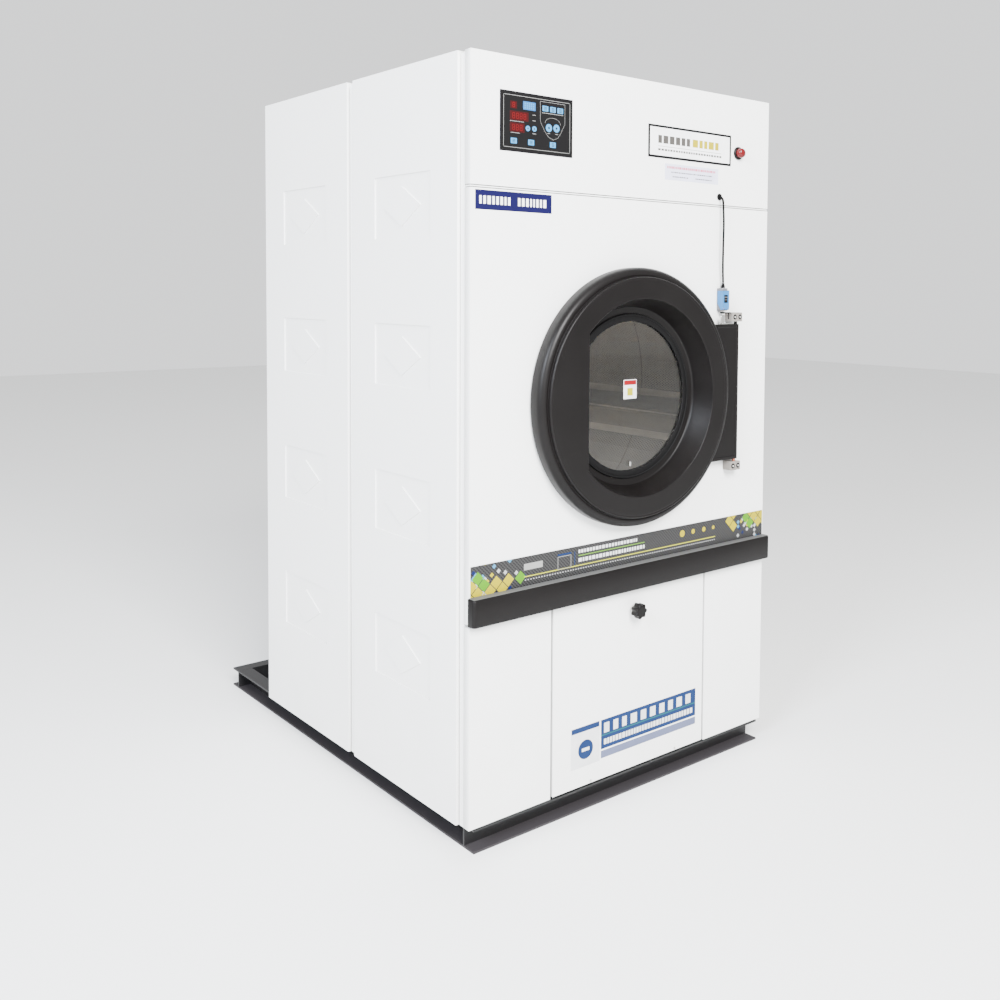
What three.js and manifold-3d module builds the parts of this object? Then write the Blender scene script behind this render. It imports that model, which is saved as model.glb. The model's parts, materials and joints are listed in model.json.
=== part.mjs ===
// Commercial tumble dryer: a sheet-metal cabinet on a base of steel channels, with a round loading
// door, a belt-driven drum, an exhaust fan on the back and a lint compartment behind a drop-down door.
// Millimetres. X points right as seen from the front, Y points to the back, Z points up.
// Every length below is measured from the floor (Z = 0) and from the front face of the panels (Y = 0).
import * as THREE from 'three';
import { mergeVertices } from 'three/addons/utils/BufferGeometryUtils.js';
import Module from 'manifold-3d';

const wasm = await Module();
wasm.setup();

// ---------------------------------------------------------------- driving dimensions
const GAP = 0.4; // air left between parts that touch
const SHEET = 1.5; // thickness of the folded panels
const SIDE_X = 505; // outer face of the side panels
const FRONT_X = 500; // half width of the front panels
const TOP_Z = 1800;
const DEPTH = 1040; // cabinet, front face to rear face
const RETURN = 20; // depth of the folded edges
const FRONT_DEPTH = 21; // depth of the front panels
const SHADOW_GAP = 17; // groove between the front panels and the side panels
const COLUMN_SEAM = [518, 544]; // groove between the front and the rear side panels

const EMBOSS = { // pressed pattern in the side panels
  rows: [389.5, 752.5, 1114.5, 1470.5],
  width: 270,
  height: 166,
  rhombusWidth: 200,
  rhombusHeight: 112,
  depth: 3,
};

const BASE_Z = 56; // height of the base channels
const BASE_WALL = 5;
const FLANGE = 38; // reach of a channel's flange beyond its web
const BASE_X = 484; // flange tips at the sides
const BASE_BACK = 1355; // the base runs on behind the cabinet

const PANEL_Z = BASE_Z + GAP;
const LOWER_SEAM_Z = 523; // between the main panel and the lower panels
const FASCIA_SEAM_Z = 1502;
const SEAM = 3; // visible gap between two front panels
const LINT_X = 261; // half width of the lint door's opening

const AXIS_X = -14; // door, loading mouth and drum share this axis
const AXIS_Z = 1011;
const MOUTH_R = 262; // hole in the front panel
const DOOR_R = 321;
const DOOR_FRONT = -54; // front face of the door ring
const GLASS_R = 201;

const HINGE_X = 350;
const HINGE_Y = -20;
const HINGE_PLATE_Z = [821, 1187];
const PIN_R = 4.5;

const DRUM_R = 420;
const DRUM_Y = [60, 860];
const SHAFT_R = 30;
const LIFTER_ANGLES = [-14.5, 105.5, 225.5]; // degrees from +X, seen from the front
const PULLEY_Y = 1081; // middle plane of the belt
const PULLEY_R = 240; // bottom of the groove
const MOTOR_PULLEY_R = 40;
const MOTOR_X = 235;
const MOTOR_Z = 175;
const BELT_SLACK = 3; // clearance under the belt
const BELT_THICK = 8;
const BELT_WIDTH = 12;

const FAN_X = -150;
const FAN_Z = 330;
const FAN_Y = [1044, 1150];
const SCROLL_R = 165;
const OUTLET_X = [-170, -30]; // the upright outlet, from the fan's axis
const OUTLET_TOP = 320;
const DUCT_R = 90;

const SWITCH_X = 306;
const SWITCH_Y = -12;
const SWITCH_Z = [1223, 1283];
const GROMMET = { x: 300, z: 1526 };
const CABLE_R = 3;

const BIG_ROUND = 48; // sides of large round parts
const MEDIUM_ROUND = 32;
const SMALL_ROUND = 20;
const Y_MIDDLE = (DOOR_FRONT + BASE_BACK) / 2; // moved to the origin at the end

// ---------------------------------------------------------------- materials
const paint = (color, roughness, metalness = 0) => new THREE.MeshStandardMaterial({
  color,
  roughness,
  metalness,
  flatShading: true,
});
const WHITE_ENAMEL = paint(0xecebe7, 0.45);
const BLACK_STEEL = paint(0x2b2827, 0.6, 0.3);
const BLACK_PLASTIC = paint(0x2d2b2a, 0.35);
const BLACK_RUBBER = paint(0x1d1c1c, 0.8);
const CLEAR_GLASS = paint(0x6b6660, 0.05);
const BRIGHT_STEEL = paint(0xb9b5ad, 0.35, 0.9);
const DRUM_STEEL = paint(0x8b857c, 0.4, 0.9);
const GALVANISED = paint(0xa9adb0, 0.5, 0.8);
const CAST_IRON = paint(0x4a4f55, 0.6, 0.6);
const MOTOR_BLUE = paint(0x39506b, 0.5, 0.2);
const SWITCH_BLUE = paint(0x4f9fd8, 0.4);
const SWITCH_GREY = paint(0x8d8d93, 0.5);
const RED_LENS = paint(0x9c1416, 0.2);
const CARBON_FOIL = paint(0x3a3a3a, 0.5);

// ---------------------------------------------------------------- solid helpers
// A closed geometry as a manifold solid, turned outwards when its faces point in.
function toSolid(geometry) {
  const bare = geometry.clone();
  bare.deleteAttribute('normal');
  bare.deleteAttribute('uv');
  const merged = mergeVertices(bare, 1e-3);
  const at = merged.attributes.position.array;
  const index = merged.index.array;
  const corner = (i) => new THREE.Vector3().fromArray(at, i * 3);
  const triangles = [];
  let volume = 0;
  for (let i = 0; i < index.length; i += 3) {
    const [a, b, c] = index.slice(i, i + 3);
    if (a === b || b === c || a === c) continue;
    triangles.push([a, b, c]);
    volume += corner(a).dot(corner(b).cross(corner(c)));
  }
  const ordered = volume < 0 ? triangles.map(([a, b, c]) => [a, c, b]) : triangles;
  return new wasm.Manifold(new wasm.Mesh({
    numProp: 3,
    vertProperties: Float32Array.from(at),
    triVerts: Uint32Array.from(ordered.flat()),
  }));
}

function fromSolid(solid) {
  const mesh = solid.getMesh();
  const geometry = new THREE.BufferGeometry();
  geometry.setAttribute('position', new THREE.BufferAttribute(Float32Array.from(mesh.vertProperties), 3));
  geometry.setIndex(new THREE.BufferAttribute(Uint32Array.from(mesh.triVerts), 1));
  return geometry;
}

function join(...geometries) {
  return fromSolid(geometries.map(toSolid).reduce((sum, next) => sum.add(next)));
}

function cut(geometry, ...tools) {
  return fromSolid(tools.map(toSolid).reduce((rest, tool) => rest.subtract(tool), toSolid(geometry)));
}

// A box from its lowest and highest coordinate on each axis.
function box([x0, x1], [y0, y1], [z0, z1]) {
  const geometry = new THREE.BoxGeometry(x1 - x0, y1 - y0, z1 - z0);
  return geometry.translate((x0 + x1) / 2, (y0 + y1) / 2, (z0 + z1) / 2);
}

// A turned part about the Y axis. Its profile is a list of [radius, y] that ends on the axis or closes.
function turned(profile, sides = BIG_ROUND) {
  const points = profile.map(([r, y]) => new THREE.Vector2(r, y));
  if (profile[0][0] > 0) points.push(points[0].clone());
  return new THREE.LatheGeometry(points, sides);
}

// A round bar along Y from y0 to y1 about the line (x, z).
function rodY(radius, [y0, y1], [x, z] = [0, 0], sides = SMALL_ROUND) {
  return new THREE.CylinderGeometry(radius, radius, y1 - y0, sides).translate(x, (y0 + y1) / 2, z);
}

// A round bar along Z from z0 to z1 about the line (x, y).
function rodZ(radius, [z0, z1], [x, y] = [0, 0], sides = SMALL_ROUND) {
  const rod = new THREE.CylinderGeometry(radius, radius, z1 - z0, sides).rotateX(Math.PI / 2);
  return rod.translate(x, y, (z0 + z1) / 2);
}

// A shape drawn in X and Z, extruded along Y from y0 to y1.
function extrudeY(shape, [y0, y1], curveSegments = 12) {
  const options = { depth: y1 - y0, bevelEnabled: false, curveSegments };
  return new THREE.ExtrudeGeometry(shape, options).rotateX(Math.PI / 2).translate(0, y1, 0);
}

// A folded sheet panel: a box emptied through one open side, given as an axis index and a sign.
function tray(ranges, axis, sign, wall = SHEET) {
  const inner = ranges.map(([low, high]) => [low + wall, high - wall]);
  const past = ranges[axis][sign > 0 ? 1 : 0] + sign;
  inner[axis][sign > 0 ? 1 : 0] = past;
  return cut(box(...ranges), box(...inner));
}

function piece(group, name, geometry, material, position = [0, 0, 0]) {
  const mesh = new THREE.Mesh(geometry, material);
  mesh.name = name;
  mesh.position.set(...position);
  group.add(mesh);
  return mesh;
}

function groupAt(parent, x, y, z) {
  const group = new THREE.Group();
  group.position.set(x, y, z);
  parent.add(group);
  return group;
}

const machine = new THREE.Group();
machine.position.y = -Y_MIDDLE;

// ---------------------------------------------------------------- base of steel channels
// A channel's section in a plane of (out, up): web at the inside, flanges pointing out.
function channelShape() {
  const shape = new THREE.Shape();
  const reach = FLANGE + BASE_WALL;
  shape.moveTo(0, 0);
  shape.lineTo(reach, 0);
  shape.lineTo(reach, BASE_WALL);
  shape.lineTo(BASE_WALL, BASE_WALL);
  shape.lineTo(BASE_WALL, BASE_Z - BASE_WALL);
  shape.lineTo(reach, BASE_Z - BASE_WALL);
  shape.lineTo(reach, BASE_Z);
  shape.lineTo(0, BASE_Z);
  return shape;
}

// A channel of the given length, centred on the origin, running along X with its flanges towards -Y.
function channel(length) {
  const bar = new THREE.ExtrudeGeometry(channelShape(), { depth: length, bevelEnabled: false });
  return bar.translate(0, 0, -length / 2).rotateX(Math.PI / 2).rotateZ(-Math.PI / 2);
}

function addBase() {
  const webInset = FLANGE + BASE_WALL;
  const sideLength = BASE_BACK - 2 * (webInset + GAP);
  const middleY = BASE_BACK / 2;
  const ends = [
    ['front', webInset, 0, 2 * BASE_X, 0],
    ['rear', BASE_BACK - webInset, Math.PI, 2 * BASE_X, 0],
    ['left', middleY, -Math.PI / 2, sideLength, webInset - BASE_X],
    ['right', middleY, Math.PI / 2, sideLength, BASE_X - webInset],
  ];
  for (const [side, y, turn, length, x] of ends) {
    const bar = piece(machine, `base_channel_${side}`, toOutward(channel(length)), BLACK_STEEL, [x, y, 0]);
    bar.rotation.z = turn;
  }
  const bed = box([-330, 350], [DEPTH + 2, BASE_BACK - 5], [PANEL_Z, PANEL_Z + 6]);
  piece(machine, 'drive_bed', bed, BLACK_STEEL);
}

function toOutward(geometry) {
  return fromSolid(toSolid(geometry));
}

// ---------------------------------------------------------------- welded inner frame
const TUBE = 30; // side of the square bars
const POST_X = 467; // centre line of the posts
const POST_Y = [57, 531, 1021];
const FRAME_Z = [58.5, 1768];
const SUBFRAME_Y = [FRONT_DEPTH + 0.8, 42.5];
const LATCH_Z = 470;
const STRIP_SINK = 8; // how far the seam strips lie below the panels

function frameBeams() {
  const half = TUBE / 2;
  const [bottom, top] = FRAME_Z;
  const beams = [];
  for (const side of [-1, 1]) {
    const x = [side * POST_X - half, side * POST_X + half];
    for (const y of POST_Y) beams.push(box(x, [y - half, y + half], FRAME_Z));
    const along = [POST_Y[0] - half, POST_Y[2] + half];
    beams.push(box(x, along, [bottom, bottom + TUBE]), box(x, along, [top - TUBE, top]));
  }
  const across = [-POST_X - half, POST_X + half];
  for (const y of POST_Y) {
    beams.push(box(across, [y - half, y + half], [top - TUBE, top]));
    beams.push(box(across, [y - half, y + half], [bottom, bottom + TUBE]));
  }
  for (const z of [AXIS_Z - 105, AXIS_Z + 105]) {
    beams.push(box(across, [POST_Y[2] - half, POST_Y[2] + half], [z - half, z + half]));
  }
  return beams;
}

// Strips that close the grooves between panels, up both sides and over the top, a little below the surface.
function seamStrips(y, innerX) {
  const edge = SIDE_X - STRIP_SINK;
  const top = TOP_Z - STRIP_SINK;
  return [
    box([-edge, -innerX], y, [FRAME_Z[0], top]),
    box([innerX, edge], y, [FRAME_Z[0], top]),
    box([-edge, edge], y, [TOP_Z - 50, top]),
  ];
}

// The front subframe that the front panels screw to, with the slotted keeper for the lint door's latch.
function subframeBeams() {
  const outer = 480;
  const rail = 25;
  const beams = [
    box([-outer, outer], SUBFRAME_Y, [FRAME_Z[0], FRAME_Z[0] + rail]),
    box([-outer, outer], SUBFRAME_Y, [TOP_Z - 45, TOP_Z - 22]),
    box([-outer, outer], SUBFRAME_Y, [FASCIA_SEAM_Z - 12, FASCIA_SEAM_Z + 12]),
    box([-outer, outer], SUBFRAME_Y, [LOWER_SEAM_Z - 18, LOWER_SEAM_Z + 18]),
    box([-30, 30], [36, SUBFRAME_Y[1]], [LATCH_Z - 30, LOWER_SEAM_Z]),
  ];
  beams.push(...seamStrips([SUBFRAME_Y[0], FRONT_DEPTH + SHADOW_GAP - GAP], outer - 2));
  beams.push(...seamStrips([COLUMN_SEAM[0] + GAP, COLUMN_SEAM[1] - GAP], POST_X));
  for (const side of [-1, 1]) {
    const edge = [side * outer, side * (outer - rail)].sort((a, b) => a - b);
    const seam = [side * (LINT_X - 11), side * (LINT_X + 11)].sort((a, b) => a - b);
    beams.push(box(edge, SUBFRAME_Y, [FRAME_Z[0], TOP_Z - 22]));
    beams.push(box(seam, SUBFRAME_Y, [FRAME_Z[0], LOWER_SEAM_Z]));
  }
  return beams;
}

function addFrame() {
  const slot = box([-19, 19], [30, 50], [LATCH_Z - 8, LATCH_Z + 8]);
  const frame = cut(join(...frameBeams(), ...subframeBeams()), slot);
  piece(machine, 'cabinet_frame', frame, WHITE_ENAMEL);
}

// ---------------------------------------------------------------- cabinet panels
// The pressed pattern: a recessed rectangle with a rhombus left standing in its middle.
function pressedPattern() {
  const across = EMBOSS.width / 2;
  const up = EMBOSS.height / 2;
  const shape = new THREE.Shape();
  shape.moveTo(-across, -up);
  shape.lineTo(across, -up);
  shape.lineTo(across, up);
  shape.lineTo(-across, up);
  const rhombus = new THREE.Path();
  rhombus.moveTo(-EMBOSS.rhombusWidth / 2, 0);
  rhombus.lineTo(0, -EMBOSS.rhombusHeight / 2);
  rhombus.lineTo(EMBOSS.rhombusWidth / 2, 0);
  rhombus.lineTo(0, EMBOSS.rhombusHeight / 2);
  shape.holes.push(rhombus);
  return shape;
}

// A side panel with its four pressed patterns; side is -1 on the left and 1 on the right.
function sidePanel(side, y) {
  const x = [side * SIDE_X, side * (SIDE_X - RETURN)].sort((a, b) => a - b);
  const middle = (y[0] + y[1]) / 2;
  const pockets = [];
  let panel = toSolid(tray([x, y, [PANEL_Z, TOP_Z]], 0, -side));
  for (const z of EMBOSS.rows) {
    const inner = SIDE_X - EMBOSS.depth - SHEET;
    const behind = [side * inner, side * (SIDE_X - SHEET / 2)].sort((a, b) => a - b);
    const halfWidth = EMBOSS.width / 2 + SHEET;
    const halfHeight = EMBOSS.height / 2 + SHEET;
    const pan = box(behind, [middle - halfWidth, middle + halfWidth], [z - halfHeight, z + halfHeight]);
    panel = panel.add(toSolid(pan));
    const pocket = new THREE.ExtrudeGeometry(pressedPattern(), {
      depth: EMBOSS.depth + 1,
      bevelEnabled: false,
    });
    pocket.rotateX(Math.PI / 2).rotateZ(Math.PI / 2);
    const start = side > 0 ? SIDE_X - EMBOSS.depth : -SIDE_X - 1;
    pocket.translate(start, middle, z);
    pockets.push(toSolid(pocket));
  }
  return fromSolid(pockets.reduce((rest, pocket) => rest.subtract(pocket), panel));
}

function addSideAndTopPanels() {
  const columns = {
    front: [FRONT_DEPTH + SHADOW_GAP, COLUMN_SEAM[0]],
    rear: [COLUMN_SEAM[1], DEPTH],
  };
  const inner = SIDE_X - RETURN - GAP;
  for (const [column, y] of Object.entries(columns)) {
    const top = tray([[-inner, inner], y, [TOP_Z - RETURN, TOP_Z]], 2, -1);
    piece(machine, `side_panel_${column}_left`, sidePanel(-1, y), WHITE_ENAMEL);
    piece(machine, `side_panel_${column}_right`, sidePanel(1, y), WHITE_ENAMEL);
    piece(machine, `top_panel_${column}`, top, WHITE_ENAMEL);
  }
}

function addRearPanel() {
  const inner = SIDE_X - RETURN - GAP;
  const sheet = tray([[-inner, inner], [DEPTH - RETURN, DEPTH], [PANEL_Z, TOP_Z - RETURN - GAP]], 1, -1);
  const through = [DEPTH - RETURN - 5, DEPTH + 5];
  const holes = [
    rodY(70, through, [AXIS_X, AXIS_Z], 24),
    rodY(DUCT_R + 2, through, [FAN_X, FAN_Z], 24),
  ];
  for (let row = 0; row < 6; row += 1) {
    const z = 1560 + row * 30;
    for (const x of [-250, 10]) holes.push(box([x, x + 220], through, [z, z + 10]));
  }
  piece(machine, 'rear_panel', cut(sheet, ...holes), WHITE_ENAMEL);
}

function addFrontPanels() {
  const y = [0, FRONT_DEPTH];
  const half = SEAM / 2;
  const lowerTop = LOWER_SEAM_Z - half;
  const fascia = tray([[-FRONT_X, FRONT_X], y, [FASCIA_SEAM_Z + half, TOP_Z]], 1, 1);
  const grommetHole = rodY(7, [-5, 10], [GROMMET.x, GROMMET.z], 16);
  piece(machine, 'front_fascia', cut(fascia, grommetHole), WHITE_ENAMEL);
  const main = tray([[-FRONT_X, FRONT_X], y, [LOWER_SEAM_Z + half, FASCIA_SEAM_Z - half]], 1, 1);
  const mouth = rodY(MOUTH_R, [-10, 10], [AXIS_X, AXIS_Z], BIG_ROUND);
  piece(machine, 'front_panel', cut(main, mouth), WHITE_ENAMEL);
  for (const [name, x] of [['left', [-FRONT_X, -LINT_X - half]], ['right', [LINT_X + half, FRONT_X]]]) {
    piece(machine, `lower_panel_${name}`, tray([x, y, [PANEL_Z, lowerTop]], 1, 1), WHITE_ENAMEL);
  }
}

// A rounded bar across the front that takes the knocks of laundry trolleys.
function addBumper() {
  const half = 502;
  const front = -24;
  const radius = 8;
  const shape = new THREE.Shape();
  shape.moveTo(-half, -GAP);
  shape.lineTo(-half, front + radius);
  shape.absarc(radius - half, front + radius, radius, Math.PI, 1.5 * Math.PI);
  shape.lineTo(half - radius, front);
  shape.absarc(half - radius, front + radius, radius, -Math.PI / 2, 0);
  shape.lineTo(half, -GAP);
  const bar = new THREE.ExtrudeGeometry(shape, { depth: 64, bevelEnabled: false, curveSegments: 4 });
  piece(machine, 'bumper_bar', toOutward(bar), BLACK_PLASTIC, [0, 0, LOWER_SEAM_Z + 1]);
  const band = box([-495, 495], [-1.4, -GAP], [LOWER_SEAM_Z + 66, LOWER_SEAM_Z + 135]);
  piece(machine, 'label_band', band, CARBON_FOIL);
}

// ---------------------------------------------------------------- lint door and its compartment
function starKnobShape(lobes, inner, outer) {
  const shape = new THREE.Shape();
  const steps = lobes * 6;
  for (let i = 0; i < steps; i += 1) {
    const turn = (i / steps) * 2 * Math.PI;
    const radius = inner + (outer - inner) * (0.5 + 0.5 * Math.cos(lobes * turn));
    const x = radius * Math.cos(turn);
    const z = radius * Math.sin(turn);
    if (i === 0) shape.moveTo(x, z);
    else shape.lineTo(x, z);
  }
  return shape;
}

function addLintDoor() {
  const half = LINT_X - SEAM / 2;
  const top = LOWER_SEAM_Z - SEAM / 2;
  const door = tray([[-half, half], [0, FRONT_DEPTH], [59, top]], 1, 1);
  const stemHole = rodY(6, [-5, 10], [0, LATCH_Z], 16);
  piece(machine, 'lint_door', cut(door, stemHole), WHITE_ENAMEL);
  const latch = groupAt(machine, 0, 0, LATCH_Z);
  const head = extrudeY(starKnobShape(7, 16, 20), [-34, -12]);
  const collar = rodY(11, [-12.5, -1], [0, 0], 16);
  const stem = rodY(5, [-2, 52], [0, 0], 12);
  const crossBar = box([-15, 15], [45, 51], [-4, 4]);
  piece(latch, 'lint_knob', join(head, collar, stem, crossBar), BLACK_PLASTIC);
}

function addLintCompartment() {
  const shell = tray([[-240, 240], [45, 480], [92, 572]], 2, 1);
  const front = box([-236, 236], [40, 50], [96, 600]);
  const outlet = rodY(DUCT_R, [470, 490], [FAN_X + 10, FAN_Z], 24);
  piece(machine, 'lint_box', cut(shell, front, outlet), GALVANISED);
  const panel = box([-234, 234], [150, 152], [98, 540]);
  const opening = box([-214, 214], [140, 160], [118, 520]);
  const rim = cut(box([-234, 234], [143, 159], [98, 540]), opening);
  piece(machine, 'lint_screen', join(rim, panel), BRIGHT_STEEL);
  const ductEnd = FAN_Y[0] - 1;
  const ductWall = [DUCT_R - 3, DUCT_R - 1.5];
  const duct = turned([[ductWall[0], 481], [ductWall[1], 481], [ductWall[1], ductEnd], [ductWall[0], ductEnd]], 24);
  piece(machine, 'air_duct', toOutward(duct), GALVANISED, [FAN_X, 0, FAN_Z]);
}

// ---------------------------------------------------------------- loading door
// The ring is a moulded shell: a rolled rim, a groove and a bead, a flat face and a funnel to the glass.
function doorRingProfile() {
  const rim = [];
  const steps = 5;
  for (let i = 0; i <= steps; i += 1) {
    const turn = (i / steps) * (Math.PI / 2);
    rim.push([304 + 17 * Math.cos(turn), -28 - 22 * Math.sin(turn)]);
  }
  return [
    [316, -4], [DOOR_R, -10], ...rim,
    [301, -45], [298, DOOR_FRONT + 2], [294, DOOR_FRONT], [244, DOOR_FRONT],
    [223, 5], [207, 5], [207, 14], [228, 14], [228, 8], [248, DOOR_FRONT + 6],
    [290, DOOR_FRONT + 6], [298, -38], [304, -42], [314, -27], [312, -4],
  ];
}

// The flat segment on the side away from the hinge; fingers go behind its straight edge.
function gripSegment() {
  const chordX = -184;
  const radius = 252;
  const reach = Math.acos(chordX / radius);
  const shape = new THREE.Shape();
  shape.absarc(0, 0, radius, reach, 2 * Math.PI - reach, false);
  return extrudeY(shape, [DOOR_FRONT + 0.01, DOOR_FRONT + 5.5], 16);
}

function addDoor() {
  const door = groupAt(machine, HINGE_X, HINGE_Y, 0);
  const centre = [AXIS_X - HINGE_X, -HINGE_Y, AXIS_Z];
  piece(door, 'door_ring', join(turned(doorRingProfile()), gripSegment()), BLACK_PLASTIC, centre);
  const glass = turned([[0, 6], [GLASS_R, 6], [GLASS_R, 12], [0, 12]]);
  piece(door, 'door_glass', toOutward(glass), CLEAR_GLASS, centre);
  const lip = GLASS_R + 0.6;
  const gasket = turned([
    [187, 1], [206.5, 1], [206.5, 15], [187, 15], [187, 12.5], [lip, 12.5], [lip, 5.5], [187, 5.5],
  ]);
  piece(door, 'glass_gasket', toOutward(gasket), BLACK_RUBBER, centre);
  const seal = turned([[231.5, 1], [246, 3], [246, 9], [229, 13.6], [229, 9]]);
  piece(door, 'door_seal', toOutward(seal), BLACK_RUBBER, centre);
  addHingePlate(door);
}

function addHingePlate(door) {
  const [low, high] = HINGE_PLATE_Z;
  const half = 7;
  const blank = new THREE.Shape();
  blank.moveTo(-130, -half);
  blank.lineTo(0, -half);
  blank.absarc(0, 0, half, -Math.PI / 2, Math.PI / 2);
  blank.lineTo(-130, half);
  const plate = new THREE.ExtrudeGeometry(blank, {
    depth: high - low,
    bevelEnabled: false,
    curveSegments: 6,
  });
  const ring = rodY(DOOR_R + 1, [-30, 30], [AXIS_X - HINGE_X, AXIS_Z - low], BIG_ROUND);
  const lowBore = rodZ(PIN_R + 0.5, [-5, 16], [0, 0], 16);
  const highBore = rodZ(PIN_R + 0.5, [high - low - 16, high - low + 5], [0, 0], 16);
  piece(door, 'hinge_plate', cut(plate, ring, lowBore, highBore), BLACK_STEEL, [0, 0, low]);
  const pinLength = 34;
  piece(door, 'hinge_pin_lower', rodZ(PIN_R, [0, pinLength], [0, 0], 16), BRIGHT_STEEL, [0, 0, low - 20]);
  piece(door, 'hinge_pin_upper', rodZ(PIN_R, [0, pinLength], [0, 0], 16), BRIGHT_STEEL, [0, 0, high - 14]);
  const foot = box([-60, -14], [-6, 6], [high + GAP, high + 2.4]);
  const upright = box([-60, -46], [-2, 0], [high + 1, high + 24]);
  piece(door, 'switch_actuator', join(foot, upright), BRIGHT_STEEL);
}

function addHingeBlocks() {
  const [low, high] = HINGE_PLATE_Z;
  const size = { x: [328, 366], y: [-30, -GAP] };
  const blocks = { lower: [low - 30, low - 6], upper: [high + 7, high + 31] };
  for (const [name, z] of Object.entries(blocks)) {
    const bore = name === 'lower' ? [z[1] - 15, z[1] + 5] : [z[0] - 5, z[0] + 15];
    const block = cut(box(size.x, size.y, z), rodZ(PIN_R + 0.5, bore, [HINGE_X, HINGE_Y], 16));
    piece(machine, `hinge_block_${name}`, block, BRIGHT_STEEL);
  }
}

// ---------------------------------------------------------------- door switch and its lead
const CABLE_ROUTE = [
  [307, -12, 1297.5], [306.6, -12.2, 1303], [305, -13, 1316], [302.6, -14.6, 1336], [300.8, -16, 1358],
  [300, -17, 1382], [300, -17.4, 1406], [300.6, -17.4, 1430], [301.2, -17, 1454], [301.2, -16.2, 1476],
  [300.8, -15.4, 1494], [300.3, -15, 1508], [300, -13.9, 1516.7], [300, -10.6, 1521.6], [300, -5.7, 1524.9],
  [300, 0.5, 1526],
];

function addSwitch() {
  const half = 11;
  const x = [SWITCH_X - half, SWITCH_X + half];
  const body = box([x[0] + 1.5, x[1] - 1.5], [-20, -GAP], SWITCH_Z);
  const turret = rodZ(8, [SWITCH_Z[0] - 3, SWITCH_Z[0] + 1], [SWITCH_X, SWITCH_Y], 16);
  piece(machine, 'switch_housing', join(body, turret), SWITCH_GREY);
  const shell = box([x[0] - 1, x[1] + 1], [-24, -4], [SWITCH_Z[0] + 2, SWITCH_Z[1] - 7]);
  const hollow = box([x[0] + 1, x[1] - 1], [-20.5, 0], [SWITCH_Z[0], SWITCH_Z[1]]);
  piece(machine, 'switch_cover', cut(shell, hollow), SWITCH_BLUE);
  addSwitchLever();
  const gland = rodZ(5.5, [SWITCH_Z[1] + GAP, SWITCH_Z[1] + 14], [307, SWITCH_Y], 16);
  piece(machine, 'switch_gland', gland, BLACK_PLASTIC);
  piece(machine, 'switch_cable', cableSolid(), BLACK_RUBBER);
  const grommet = turned([[4, -3], [9, -2], [9, -GAP], [6.5, -GAP], [6.5, 3], [4, 3]], SMALL_ROUND);
  piece(machine, 'cable_grommet', toOutward(grommet), BLACK_RUBBER, [GROMMET.x, 0, GROMMET.z]);
}

function cableSolid() {
  const route = new THREE.CatmullRomCurve3(CABLE_ROUTE.map((point) => new THREE.Vector3(...point)));
  const section = new THREE.Shape();
  section.absarc(0, 0, CABLE_R, 0, 2 * Math.PI);
  const options = { steps: 28, curveSegments: 4, bevelEnabled: false, extrudePath: route };
  return toOutward(new THREE.ExtrudeGeometry(section, options));
}

// A short arm under the switch with a wire finger at its end; it turns about the switch's own axis.
function addSwitchLever() {
  const pivot = groupAt(machine, SWITCH_X, SWITCH_Y, SWITCH_Z[0] - 3 - GAP);
  const hub = rodZ(6, [-4.5, 0], [0, 0], 16);
  const arm = box([0, 22], [-2.5, 2.5], [-4, -0.5]).rotateZ(-Math.PI / 4);
  const finger = box([15, 18], [-1.5, 1.5], [-20, -3]).rotateZ(-Math.PI / 4);
  piece(pivot, 'switch_lever', join(hub, arm, finger), BLACK_STEEL);
}

// ---------------------------------------------------------------- controls on the fascia
function addControls() {
  const membrane = box([-419, -211], [-1.8, -GAP], [1586, 1719]);
  piece(machine, 'control_membrane', membrane, BLACK_PLASTIC);
  const housing = tray([[-440, -190], [2, 80], [1560, 1732]], 1, 1);
  piece(machine, 'control_box', housing, GALVANISED);
  const lamp = groupAt(machine, 372, 0, 1648);
  const bezel = turned([[0, -6], [15, -6], [17.5, -3], [17.5, -GAP], [0, -GAP]], SMALL_ROUND);
  piece(lamp, 'pilot_lamp_bezel', toOutward(bezel), BLACK_PLASTIC);
  const lens = turned([[0, -22], [9, -20.5], [13, -16], [13, -6 - GAP], [0, -6 - GAP]], SMALL_ROUND);
  piece(lamp, 'pilot_lamp_lens', toOutward(lens), RED_LENS);
}

// ---------------------------------------------------------------- drum
function lifterShape() {
  const foot = DRUM_R - 6;
  const shape = new THREE.Shape();
  const width = 72;
  const body = 52;
  const height = 60;
  shape.moveTo(foot - 9, -width);
  shape.lineTo(foot - 11, -body);
  shape.lineTo(foot - height, -8);
  shape.lineTo(foot - height, 8);
  shape.lineTo(foot - 11, body);
  shape.lineTo(foot - 9, width);
  shape.lineTo(foot - 6, width);
  shape.lineTo(foot - 4, body);
  shape.lineTo(foot - 4, -body);
  shape.lineTo(foot - 6, -width);
  return shape;
}

function addDrum() {
  const drum = groupAt(machine, AXIS_X, 0, AXIS_Z);
  const [front, back] = DRUM_Y;
  const skin = DRUM_R - 2;
  const shell = turned([
    [275, front - 10], [277, front - 10], [277, front], [DRUM_R, front], [DRUM_R, back], [skin, back],
    [skin, front + 2], [275, front + 2],
  ]);
  piece(drum, 'drum_shell', toOutward(shell), DRUM_STEEL);
  const end = back - 8;
  const plate = turned([
    [0, end], [skin - 0.8, end], [skin - 0.8, end + 4], [120, end + 4], [80, end + 22], [SHAFT_R, end + 26],
    [SHAFT_R, 1108], [0, 1108],
  ]);
  piece(drum, 'drum_back_and_shaft', toOutward(plate), DRUM_STEEL);
  LIFTER_ANGLES.forEach((angle, i) => {
    const bar = extrudeY(lifterShape(), [front + 4, end - 2]);
    const lifter = piece(drum, `drum_lifter_${i + 1}`, toOutward(bar), DRUM_STEEL);
    lifter.rotation.y = THREE.MathUtils.degToRad(-angle);
  });
  piece(drum, 'drum_pulley', drumPulley(), CAST_IRON);
}

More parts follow.
